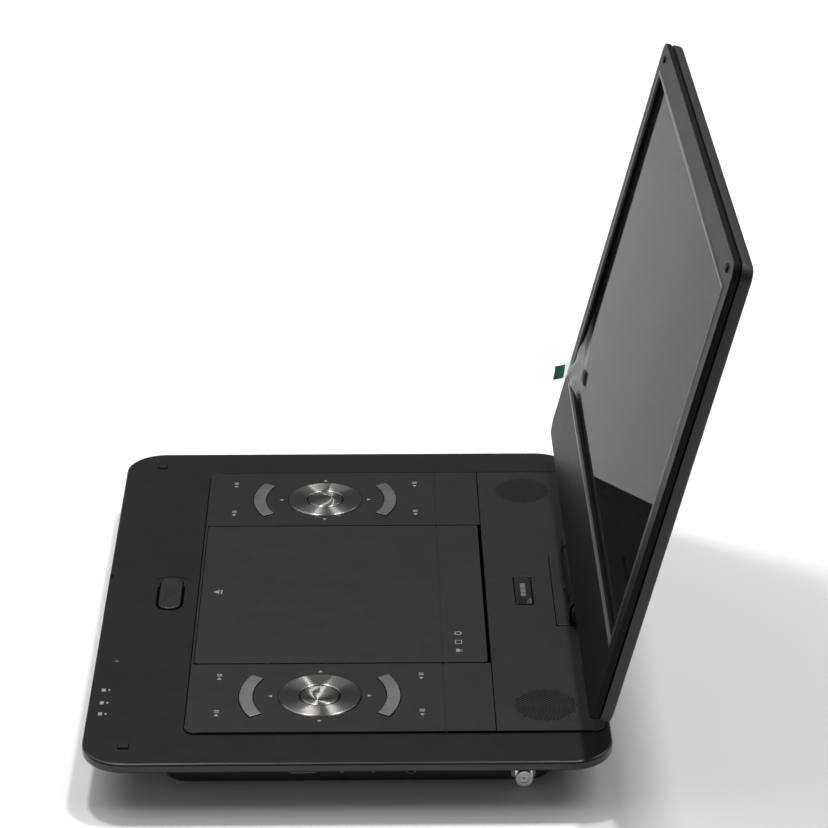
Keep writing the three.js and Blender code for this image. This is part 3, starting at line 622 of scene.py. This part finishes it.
refine("lead_screw", STEEL, 0.05)
refine("pickup", GREY_PLASTIC, 0.25)
refine("lid_latch", GREY_PLASTIC, 0.25)
refine("main_board", BOARD, 0.08)
for side in ("left", "right"):
    refine(f"key_board_{side}", BOARD, 0.08)
refine("battery_pack", BATTERY_WRAP, 0.4)
for side in ("left", "right"):
    refine(f"speaker_{side}", SPEAKER_CONE, 0.2)
refine("card_slot", MATT_BLACK, 0.15)
refine("usb_port", STEEL, 0.12)
refine("av_jack", MATT_BLACK, 0.2)
refine("phones_jack", MATT_BLACK, 0.2)
refine("dc_jack", MATT_BLACK, 0.2)
refine("volume_wheel", MATT_BLACK, 0.12)
refine("power_switch", GLOSS_BLACK, 0.15)
refine("swivel_bracket", STEEL, 0.15)
refine("swivel_post", STEEL, 0.2)
for side in ("left", "right"):
    refine(f"tilt_pin_{side}", STEEL, 0.2)
for number in range(1, 5):
    refine(f"foot_{number}", RUBBER, 0.25)
for side in ("left", "right"):
    refine(f"rim_pad_{side}", RUBBER, 0.4)
    refine(f"face_pad_{side}", RUBBER, 0.2)

# the metal controls turn about the middle of their ring, so that the spun lines do too
for side, sign in (("left", -1), ("right", 1)):
    middle = at(sign * PAD_X, PAD_Y, 0)
    for node in (f"ring_{side}", f"centre_button_{side}"):
        control = refine(node, SPUN_METAL, 0.3, origin=middle)
        spin_uv(control.data)
    for end in ("front", "rear"):
        refine(f"arc_button_{side}_{end}", ARC_METAL, 0.3, origin=middle)


# ---------- protective film with a lifted corner and a pull tab ----------
def film_height(x, y):
    """How far the film stands off the display: flat, then lifted over the frame at one corner."""
    run = FOLD_LENGTH + (Vector((x, y)) - FOLD_END).dot(FOLD_ALONG)
    if run <= 0:
        return FILM_LIE
    across = (Vector((x, y)) - FOLD_END).dot(FOLD_ACROSS)
    share = min(1, run / LIFT_RUN)
    lift = FILM_LIFT * share * share * (3 - 2 * share)
    curl = 0.0183 * max(0, run - LIFT_RUN) ** 2
    ripple = math.sin(across / 1.9 + 0.8) * math.sin(run / 8.5) * math.exp(-abs(across) / 30)
    return FILM_LIE + lift + curl + 0.9 * share * ripple


def spaced(start, end, coarse, fine=1.5, fine_run=48):
    """Places from start to end: close together for fine_run, then far apart."""
    places = []
    value = start
    while value < end - coarse * 0.3:
        places.append(value)
        value += fine if value < start + fine_run else coarse
    return places + [end]


film_rows = []
for x in spaced(-FILM_HALF, FILM_HALF, 14):
    film_rows.append([(x, y, film_height(x, y)) for y in spaced(FILM_BOTTOM, FILM_TOP, 12)])
film_mesh = sheet_mesh("display_film", film_rows, FILM_THICKNESS)
film = place("display_film", film_mesh, FILM, "screen", SCREEN, "clear_film")
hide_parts("screen_film")


def film_strip(name, start, end, half_width, material, thickness):
    """A strip that leaves the film's lifted corner, from one run along the fold to another."""
    rows = []
    steps = 10
    for step in range(steps + 1):
        run = start + (end - start) * step / steps
        middle = FOLD_END + FOLD_ALONG * (run - FOLD_LENGTH)
        height = film_height(*middle) + 0.12
        row = []
        for across in (-1, -0.5, 0, 0.5, 1):
            point = middle + FOLD_ACROSS * across * half_width
            row.append((point.x, point.y, height + 0.25 * across * across))
        rows.append(row)
    strip = place(name, sheet_mesh(name, rows, thickness), material, "screen", SCREEN, "clear_film")
    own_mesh(strip)


film_strip("film_leader", 19.5, 29.2, 5.0, FILM, FILM_THICKNESS)
film_strip("film_tab", 28.8, 37.6, 4.7, TAB_GREEN, 0.15)

# ---------- loudspeaker holes in the rear panel: flat near-black discs of painted shade ---
ROW_STEP = DIMPLE_PITCH * math.sqrt(2) / 2
MOST_ROWS = 16
holes = bmesh.new()
for sign in (-1, 1):
    for row in range(-MOST_ROWS, MOST_ROWS + 1):
        for column in range(-MOST_ROWS, MOST_ROWS + 1):
            x = row * ROW_STEP
            y = column * ROW_STEP * 2 + (row % 2) * ROW_STEP
            if math.hypot(x, y) <= CLUSTER_RADIUS:
                hole = arc_points(sign * CLUSTER_X + x, CLUSTER_Y + y, HOLE_RADIUS, 0, 315, 7)
                flat_shape(holes, hole, PANEL_TOP - 0.02, 0.035)
make("speaker_hole_shade", holes, PAINTED_SHADE, "base", BASE, "matt_black")

# ---------- printed symbols, generic only ----------
ARROW_REACH = 27
SKIP_MARK_Y = 56
prints = bmesh.new()
for sign in (-1, 1):
    for toward in (0, math.pi / 2, math.pi, -math.pi / 2):
        x = sign * PAD_X + ARROW_REACH * math.cos(toward)
        y = PAD_Y + ARROW_REACH * math.sin(toward)
        triangle_into(prints, x, y, 1.5, toward, PANEL_TOP)
    for y, toward in ((PAD_Y - SKIP_MARK_Y, math.pi), (PAD_Y + SKIP_MARK_Y, 0)):
        for offset in (-22, 18):
            x = sign * PAD_X + offset
            for middle in (x - 2.6, x - 0.9):
                strip_into(prints, middle - 0.45, y - 1.4, middle + 0.45, y + 1.4, PANEL_TOP)
            triangle_into(prints, x + 2.6, y, 1.6, toward, PANEL_TOP)
for x in (113, 127, 139):
    strip_into(prints, x - 1.6, -135.7, x + 1.6, -133.5, RIM_TOP)
    strip_into(prints, x - 0.9, -132.1, x + 0.9, -131.1, RIM_TOP)
make("printed_symbols", prints, PRINT, "base", BASE, "grey_plastic")

# ---------- aerial jack ----------
AERIAL_TIP = 180
AERIAL_PLACE = side_socket(AERIAL_Y, AERIAL_Z)
thread = [(0, 157), (4.9, 157), (4.9, 171.4)]
for start in [171.6 + turn for turn in range(8)]:
    thread += [(4.35, start), (4.35, start + 0.2), (4.9, start + 0.5), (4.9, start + 0.75)]
thread += [(4.5, AERIAL_TIP), (2.7, AERIAL_TIP), (2.5, 179.7), (2.5, 178.4), (0, 178.4)]
jack = make("aerial_thread", lathe(thread, 40), CHROME, "base", AERIAL_PLACE, "chrome", 30)
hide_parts("antenna_jack")
AERIAL_NUT = [(5, 168.3), (6.7, 168.3), (7.6, 168.8), (7.6, 170.6), (6.7, 171), (5, 171), (5, 168.3)]
make("aerial_nut", lathe(AERIAL_NUT, 6), CHROME, "base", AERIAL_PLACE, "chrome", 20)
INSULATOR = [(0.75, 178.4), (0.75, 179.6), (1.0, 179.75), (2.3, 179.75), (2.48, 179.5), (2.48, 178.4)]
make("aerial_insulator", lathe(INSULATOR, 28), WHITE_PLASTIC, "base", AERIAL_PLACE, "grey_plastic")

# ---------- painted shade: near-black strips along the panel's gaps and round the well of the open button ---
LID_SHADE_LINE = (85.6, 86.6)
LID_FRONT = -86.7
SPLIT_START = 86
SPLIT_HALF = 0.3
SHADE_LINE_TO_CORNER = 7
shade_lines = bmesh.new()
for sign in (-1, 1):
    left, right = sorted((sign * (PANEL_HALF_WIDTH - SHADE_LINE), sign * PANEL_HALF_WIDTH))
    strip_into(shade_lines, left, PANEL_FRONT + SHADE_LINE_TO_CORNER, right, PANEL_REAR - SHADE_LINE_TO_CORNER,
               PANEL_TOP, SHADE_LINE_THICKNESS)
    left, right = sorted((sign * LID_SHADE_LINE[0], sign * LID_SHADE_LINE[1]))
    strip_into(shade_lines, left, LID_FRONT, right, PANEL_SPLIT, PANEL_TOP, SHADE_LINE_THICKNESS)
    left, right = sorted((sign * SPLIT_START, sign * PANEL_HALF_WIDTH))
    strip_into(shade_lines, left, PANEL_SPLIT - SPLIT_HALF, right, PANEL_SPLIT + SPLIT_HALF,
               PANEL_TOP, SHADE_LINE_THICKNESS)
strip_into(shade_lines, -154, PANEL_FRONT, 154, PANEL_FRONT + SHADE_LINE, PANEL_TOP, SHADE_LINE_THICKNESS)
# a dark U and arc round the open button: painted shade of the well's side wall and of the scoop's edge
well = [(-9, OPEN_Y - 7)] + arc_points(12.6, OPEN_Y, 7, -90, 90, 14) + [(-9, OPEN_Y + 7)]
band_into(shade_lines, well, 1.1, RIM_TOP)
scoop = arc_points(-8, OPEN_Y, 13.5, 140, 220, 10)
band_into(shade_lines, scoop, 0.5, RIM_TOP)
make("panel_shade_lines", shade_lines, PAINTED_SHADE, "base", BASE, "matt_black")

# ---------- details of the buttons and the pilot lamp ----------
ribs = bmesh.new()
for column in range(7):
    x = -7.5 + column * 2.5
    box_into(ribs, (x - 0.4, OPEN_Y - 3.9, OPEN_TOP - 0.1), (x + 0.4, OPEN_Y + 3.9, OPEN_TOP + 0.22))
rib_piece = make("open_button_ribs", ribs, PANEL_BLACK, body_of["open_button"], BASE, "satin_black")
bevel(rib_piece, 0.12)

inlay = bmesh.new()
for start, end in ((-8, -2.2), (-1.6, 3.2), (3.8, 8)):
    strip_into(inlay, start, 100.6, end, 103.6, MODE_TOP - 0.01, 0.05)
make("mode_button_inlay", inlay, INLAY, body_of["mode_button"], BASE, "grey_plastic")
pips = bmesh.new()
for x in (14.4, 15.9):
    ball_into(pips, x, 104.4, MODE_TOP, 0.4, 2)
make("mode_button_pips", pips, CHROME, body_of["mode_button"], BASE, "chrome", 80)

PILOT = [(0, RIM_TOP - 0.3), (1.3, RIM_TOP - 0.3), (1.3, RIM_TOP + 0.05), (1.0, RIM_TOP + 0.25),
         (0, RIM_TOP + 0.3)]
pilot_place = Matrix.Translation(at(80, -130, 0))
make("pilot_lamp", lathe(PILOT, 24), LENS, "base", pilot_place, "display_glass", 50)

# ---------- marks on the lid ----------
# a disc, then a card and a plug made of (left, front, right, rear) bars
MARK_X = 52
MARK_Y = 62.5
CARD_BARS = ((8, -2, 8.5, 2), (12.1, -2, 12.6, 2), (8.5, -2, 12.1, -1.5), (8.5, 1.5, 12.1, 2))
PLUG_BARS = ((18.4, -1.6, 21.8, 0.4), (19.2, 0.4, 19.7, 2), (20.5, 0.4, 21, 2))
DISC_STEPS = 12
lid_marks = bmesh.new()
for step in range(DISC_STEPS):
    a, b = (turn * math.tau / DISC_STEPS for turn in (step, step + 1))
    corners = ((1.5, a), (2.2, a), (2.2, b), (1.5, b))
    part_ring = [(MARK_X + r * math.cos(t), MARK_Y + r * math.sin(t)) for r, t in corners]
    flat_shape(lid_marks, part_ring, LID_TOP)
for left, front, right, rear in CARD_BARS + PLUG_BARS:
    strip_into(lid_marks, MARK_X + left, MARK_Y + front, MARK_X + right, MARK_Y + rear, LID_TOP)
make("lid_marks", lid_marks, PRINT, body_of["disc_lid"], BASE, "grey_plastic")
eject = bmesh.new()
flat_shape(eject, [(-2.4, -76), (2.4, -76), (0, -79.4)], LID_TOP)
strip_into(eject, -2.4, -75.05, 2.4, -74.15, LID_TOP)
make("lid_eject_mark", eject, PRINT, body_of["disc_lid"], BASE, "grey_plastic")

# ---------- window lip with a painted highlight, hinge caps, and rings of painted shade on the hinge barrel ---
LIP = [(-0.02, SCREEN_FACE - 1.2), (-0.02, SCREEN_FACE + 0.1), (0.3, SCREEN_FACE + 0.42),
       (0.9, SCREEN_FACE + 0.5), (1.7, SCREEN_FACE + 0.4), (2.4, SCREEN_FACE + 0.02),
       (2.4, SCREEN_FACE - 0.3)]
lip = bmesh.new()
loops = []
for offset, height in LIP:
    half = WINDOW_HALF + offset
    low = WINDOW_BOTTOM - offset
    high = WINDOW_TOP + offset
    corners = ((-half, low), (half, low), (half, high), (-half, high))
    loops.append([lip.verts.new((x * MM, y * MM, height * MM)) for x, y in corners])
for near, far in zip(loops, loops[1:] + loops[:1]):
    for i in range(4):
        j = (i + 1) % 4
        lip.faces.new((near[i], near[j], far[j], far[i]))
make("window_lip", lip, LIP_PAINTED_HIGHLIGHT, body_of["screen_bezel"], SCREEN, "satin_black", 50)

CAP = [(0, 0), (5.4, 0), (5.4, 0.5), (4.9, 0.9), (3.4, 0.9), (3.2, 0.55), (1.5, 0.5), (1.2, 0.15), (0, 0.1)]
CAP_X = 48.2
for side, sign in (("left", -1), ("right", 1)):
    outward = Matrix.Rotation(sign * math.pi / 2, 4, "Y")
    cap_place = SCREEN @ Matrix.Translation((sign * CAP_X * MM, 0, 0)) @ outward
    make(f"hinge_cap_{side}", lathe(CAP, 32), MATT_BLACK, body_of["screen_back"], cap_place,
         "satin_black", 30)

# near-black bands in the barrel's grooves: painted shade
GROOVE = [(7.3, 0), (7.52, 0), (7.52, 0.35), (7.3, 0.35), (7.3, 0)]
grooves = bmesh.new()
for x in (-31, -30, 30, 31):
    join_into(grooves, lathe(GROOVE, 48), Matrix.Translation((x * MM, 0, 0)) @ QUARTER_TURN)
make("barrel_groove_shade", grooves, PAINTED_SHADE, body_of["hinge_tower"], HINGE, "matt_black")


# ---------- screws ----------
def screws(name, spots, face, way, radius, body, matrix, height=0.8):
    """Cross-head screws at (x, y) on a face, whose heads point up (1) or down (-1)."""
    profile = [(0, -0.5), (radius, -0.5), (radius, height * 0.35), (radius * 0.86, height * 0.75),
               (radius * 0.55, height), (0, height)]
    arm = radius * 0.62
    half_slot = radius * 0.13
    flip = Matrix.Rotation(0 if way > 0 else math.pi, 4, "X")
    heads = bmesh.new()
    cross = bmesh.new()
    for x, y in spots:
        spot = Matrix.Translation((x * MM, y * MM, face * MM)) @ flip
        join_into(heads, lathe(profile, 20), spot)
        # the slots are near-black boxes on the heads: painted shade
        for dx, dy in ((arm, half_slot), (half_slot, arm)):
            box_into(cross, (-dx, -dy, height - 0.2), (dx, dy, height + 0.02), spot)
    make(name, heads, SCREW_STEEL, body, matrix, "plain_steel", 40)
    make(name + "_slot_shade", cross, PAINTED_SHADE, body, matrix, "plain_steel")


def grid(columns, rows):
    return [(x, y) for x in columns for y in rows]


CASE_SPOTS = grid((-80, 80), (-88, 92)) + [(0, -88), (156, 4)]
RIM_SPOTS = grid((-180, 180), (-110, 0, 110)) + grid((-120, 120), (130,))
BACK_SPOTS = grid((-176, 176), (26, 262)) + [(0, 262), (-60, 22), (60, 22)]
DRIVE_SPOTS = [(-24, -32), (-24, 24), (70, -32), (70, 25)]
screws("case_screws", CASE_SPOTS, CASE_BOTTOM, -1, 2.7, "base", BASE)
screws("rim_screws", RIM_SPOTS, RIM_BOTTOM, -1, 2.3, "base", BASE)
screws("back_screws", BACK_SPOTS, SCREEN_BACK, -1, 2.4, body_of["screen_back"], SCREEN, 0.6)
screws("drive_screws", DRIVE_SPOTS, DRIVE_TOP, 1, 1.6, body_of["drive_frame"], BASE)
screws("board_screws", grid((96, 142), (-76, 58)), BOARD_TOP, 1, 1.8, body_of["main_board"], BASE)

# ---------- underside: door grip and blank plate ----------
grips = bmesh.new()
for row in range(6):
    y = -58 + row * 2.4
    box_into(grips, (-140, y, CASE_BOTTOM - 0.5), (-106, y + 1.1, CASE_BOTTOM + 0.2))
grip = make("battery_door_grip", grips, MATT_BLACK, body_of["battery_door"], BASE, "matt_black")
bevel(grip, 0.2)
plate = bmesh.new()
box_into(plate, (-72, -64, CASE_BOTTOM - 0.12), (-12, -24, CASE_BOTTOM + 0.1))
blank = make("blank_plate", plate, INLAY, "base", BASE, "grey_plastic")
bevel(blank, 0.1)
# a near-black line round the plate: painted shade in the gap round it
plate_shade_lines = bmesh.new()
border_into(plate_shade_lines, -70, -62, -14, -26, 0.4, CASE_BOTTOM - 0.16, CASE_BOTTOM)
make("blank_plate_shade_line", plate_shade_lines, PAINTED_SHADE, "base", BASE, "matt_black")

# ---------- back of the screen: vents and a border ----------
SLAT_ROWS = 14
SLAT_PITCH = 4.2
SLAT_BOTTOM = 178
slats = bmesh.new()
gaps = bmesh.new()
for sign in (-1, 1):
    left, right = sorted((sign * 92, sign * 142))
    for row in range(SLAT_ROWS):
        y = SLAT_BOTTOM + row * SLAT_PITCH
        box_into(slats, (left, y, SCREEN_BACK - 0.45), (right, y + 1.8, SCREEN_BACK + 0.3))
    # near-black boxes between the slats: painted shade in the vent gaps
    for row in range(SLAT_ROWS - 1):
        y = SLAT_BOTTOM + 2.3 + row * SLAT_PITCH
        box_into(gaps, (left + 1, y, SCREEN_BACK - 0.03), (right - 1, y + 1.4, SCREEN_BACK + 0.1))
slat_piece = make("back_slats", slats, BACK_BLACK, body_of["screen_back"], SCREEN, "satin_black")
bevel(slat_piece, 0.35, segments=3)
make("back_vent_gap_shade", gaps, PAINTED_SHADE, body_of["screen_back"], SCREEN, "matt_black")
border = bmesh.new()
border_into(border, -168, 36, 168, 250.2, 1.2, SCREEN_BACK - 0.3, SCREEN_BACK + 0.3)
border_piece = make("back_border", border, BACK_BLACK, body_of["screen_back"], SCREEN, "satin_black")
bevel(border_piece, 0.2)

# ---------- disc drive ----------
HUB_PLACE = Matrix.Translation(at(0, HUB_Y, 0))
LENS_PLACE = Matrix.Translation(at(LENS_X, HUB_Y, 0))
HUB_PAD = [(8.4, 19.4), (11.8, 19.4), (11.8, 19.62), (11.5, 19.8), (8.7, 19.8), (8.4, 19.62), (8.4, 19.4)]
HUB_CROWN = [(0, 21.5), (3.4, 21.5), (3.4, 21.72), (2.9, 21.9), (1.3, 21.9), (1.0, 21.65), (0, 21.65)]
LENS_DOME = [(0, 17.2), (2.5, 17.2), (2.4, 17.7), (1.9, 18.15), (1.1, 18.45), (0, 18.55)]
LENS_HOLDER = [(2.5, 17.3), (3.8, 17.3), (3.8, 17.7), (3.5, 17.95), (2.8, 17.95), (2.5, 17.7), (2.5, 17.3)]
BALL_REACH = 6.7
balls = bmesh.new()
for step in range(3):
    angle = step * math.tau / 3 + math.pi / 2
    ball_into(balls, BALL_REACH * math.cos(angle), BALL_REACH * math.sin(angle), 20.7, 1.1, 3)
make("hub_balls", balls, CHROME, body_of["disc_hub"], HUB_PLACE, "chrome", 80)
make("hub_rubber", lathe(HUB_PAD, 48), RUBBER, body_of["disc_hub"], HUB_PLACE, "rubber")
make("hub_crown", lathe(HUB_CROWN), STEEL, body_of["disc_hub"], HUB_PLACE, "plain_steel", 30)
make("pickup_lens", lathe(LENS_DOME), LENS, body_of["pickup"], LENS_PLACE, "display_glass", 70)
make("lens_holder", lathe(LENS_HOLDER), MATT_BLACK, body_of["pickup"], LENS_PLACE, "matt_black")
coils = bmesh.new()
for y in (HUB_Y - 9, HUB_Y + 9):
    box_into(coils, (19.5, y - 2.2, 16), (34.5, y + 2.2, 17.1))
coil_piece = make("pickup_coils", coils, COPPER, body_of["pickup"], BASE, "plain_steel")
bevel(coil_piece, 0.4)

# round ridges in the bay's floor, open where the pickup's slot crosses them
ridges = bmesh.new()
for radius in (24, 36, 48, 58):
    ridge = [(radius, 17.9), (radius + 0.8, 17.9), (radius + 0.8, 18.25), (radius, 18.25), (radius, 17.9)]
    join_into(ridges, lathe(ridge, 64), Matrix.Identity(4))
in_slot = [v for v in ridges.verts if v.co.x > 18.5 * MM and abs(v.co.y) < 7 * MM]
bmesh.ops.delete(ridges, geom=in_slot, context="VERTS")
bmesh.ops.holes_fill(ridges, edges=ridges.edges[:], sides=4)
make("bay_ridges", ridges, MATT_BLACK, body_of["disc_bay"], HUB_PLACE, "matt_black", 30)

# ---------- boards, loudspeakers and battery ----------
# chips as (x, y, width, length, height)
CHIPS = [(104, -40, 22, 22, 2), (108, 4, 16, 20, 1.6), (130, 30, 8, 14, 6), (128, -70, 12, 12, 5)]
LEG_PITCH = 1.6
chips = bmesh.new()
legs = bmesh.new()
for x, y, width, length, tall in CHIPS:
    box_into(chips, (x - 0.1, y - 0.1, BOARD_TOP + 0.3),
             (x + width + 0.1, y + length + 0.1, BOARD_TOP + tall + 0.1))
    for step in range(int(width / LEG_PITCH)):
        leg = x + 1 + step * LEG_PITCH
        for edge in (y - 1.2, y + length + 0.1):
            box_into(legs, (leg, edge, BOARD_TOP), (leg + 0.6, edge + 1.1, BOARD_TOP + 0.5))
chip_piece = make("board_chips", chips, GLOSS_BLACK, body_of["main_board"], BASE, "matt_black")
bevel(chip_piece, 0.2)
make("chip_legs", legs, CHROME, body_of["main_board"], BASE, "plain_steel")

KEY_DOME = [(0, 23.3), (2.9, 23.3), (2.6, 23.9), (1.4, 24.2), (0, 24.3)]
KEY_SPOTS = ((0, 0), (0, -40.6), (0, 40.6), (17, 0), (-17, 0), (0, 17), (0, -17))
SURROUND = [(10.6, 22.6), (11.2, 23.7), (12.1, 24.1), (13.0, 23.7), (13.4, 25.3), (13.7, 25.3),
            (13.7, 22.6), (10.6, 22.6)]
MAGNET = [(0, 9.9), (7.6, 9.9), (8.2, 10.4), (8.2, 14.6), (7.6, 15.1), (0, 15.1)]
for side, sign in (("left", -1), ("right", 1)):
    domes = bmesh.new()
    for dx, dy in KEY_SPOTS:
        join_into(domes, lathe(KEY_DOME, 20), Matrix.Translation((dx * MM, dy * MM, 0)))
    key_place = Matrix.Translation(at(sign * PAD_X, PAD_Y, 0))
    make(f"key_domes_{side}", domes, STEEL, body_of[f"key_board_{side}"], key_place, "plain_steel", 60)
    speaker_place = Matrix.Translation(at(sign * SPEAKER_X, SPEAKER_Y, 0))
    make(f"speaker_surround_{side}", lathe(SURROUND, 48), RUBBER, body_of[f"speaker_{side}"],
         speaker_place, "rubber", 40)
    make(f"speaker_magnet_{side}", lathe(MAGNET, 40), STEEL, body_of[f"speaker_{side}"],
         speaker_place, "plain_steel")
band = bmesh.new()
box_into(band, (-150, -40, 20.4), (-100, 20, 20.6))
make("battery_band", band, INLAY, body_of["battery_pack"], BASE, "grey_plastic")

# ---------- inside the side connectors ----------
tongue = bmesh.new()
box_into(tongue, (154, USB_Y - 5.3, PORT_Z + 0.3), (SIDE_FACE - 0.9, USB_Y + 5.3, PORT_Z + 2.3))
tongue_piece = make("usb_tongue", tongue, WHITE_PLASTIC, "base", BASE, "grey_plastic")
bevel(tongue_piece, 0.2)
contacts = bmesh.new()
for y in [USB_Y + offset for offset in (-3.5, -1, 1, 3.5)]:
    box_into(contacts, (155, y - 0.5, PORT_Z + 0.2), (SIDE_FACE - 1.6, y + 0.5, PORT_Z + 0.35))
for y in [CARD_Y - 10 + step * 2.5 for step in range(9)]:
    box_into(contacts, (144, y - 0.5, PORT_Z - 1.15), (152, y + 0.5, PORT_Z - 0.9))
make("socket_contacts", contacts, COPPER, "base", BASE, "plain_steel")

COLLAR_FACE = SIDE_FACE + 0.2
for name, y, bore, outer in (
        ("av_jack", AV_Y, 1.8, 2.7), ("phones_jack", PHONES_Y, 1.8, 2.7), ("dc_jack", DC_Y, 2.9, 3.6)):
    collar = [(bore, COLLAR_FACE - 6), (outer, COLLAR_FACE - 6), (outer, COLLAR_FACE + 0.2),
              (outer - 0.25, COLLAR_FACE + 0.4), (bore + 0.2, COLLAR_FACE + 0.4),
              (bore, COLLAR_FACE + 0.2), (bore, COLLAR_FACE - 6)]
    make(f"{name}_collar", lathe(collar, 36), CHROME, body_of[name], side_socket(y), "plain_steel")
DC_PIN = [(0, 156), (1.05, 156), (1.05, SIDE_FACE - 1.6), (0.8, SIDE_FACE - 0.9), (0, SIDE_FACE - 0.7)]
make("dc_pin", lathe(DC_PIN, 20), CHROME, body_of["dc_jack"], side_socket(DC_Y), "plain_steel", 50)

# ---------- floor, in metres ----------
HALF_FLOOR = 9
floor_mesh = bpy.data.meshes.new("floor")
floor_mesh.from_pydata(
    [(-HALF_FLOOR, -HALF_FLOOR, 0), (HALF_FLOOR, -HALF_FLOOR, 0),
     (HALF_FLOOR, HALF_FLOOR, 0), (-HALF_FLOOR, HALF_FLOOR, 0)], [], [(0, 1, 2, 3)])
paper = Shader("paper_floor", (0.93, 0.93, 0.93), 0.9)
paper.tint(paper.noise(400, 2), (0.92, 0.92, 0.92), (0.94, 0.94, 0.94))
floor_mesh.materials.append(paper.material)
floor = bpy.data.objects.new("floor", floor_mesh)
bpy.context.scene.collection.objects.link(floor)
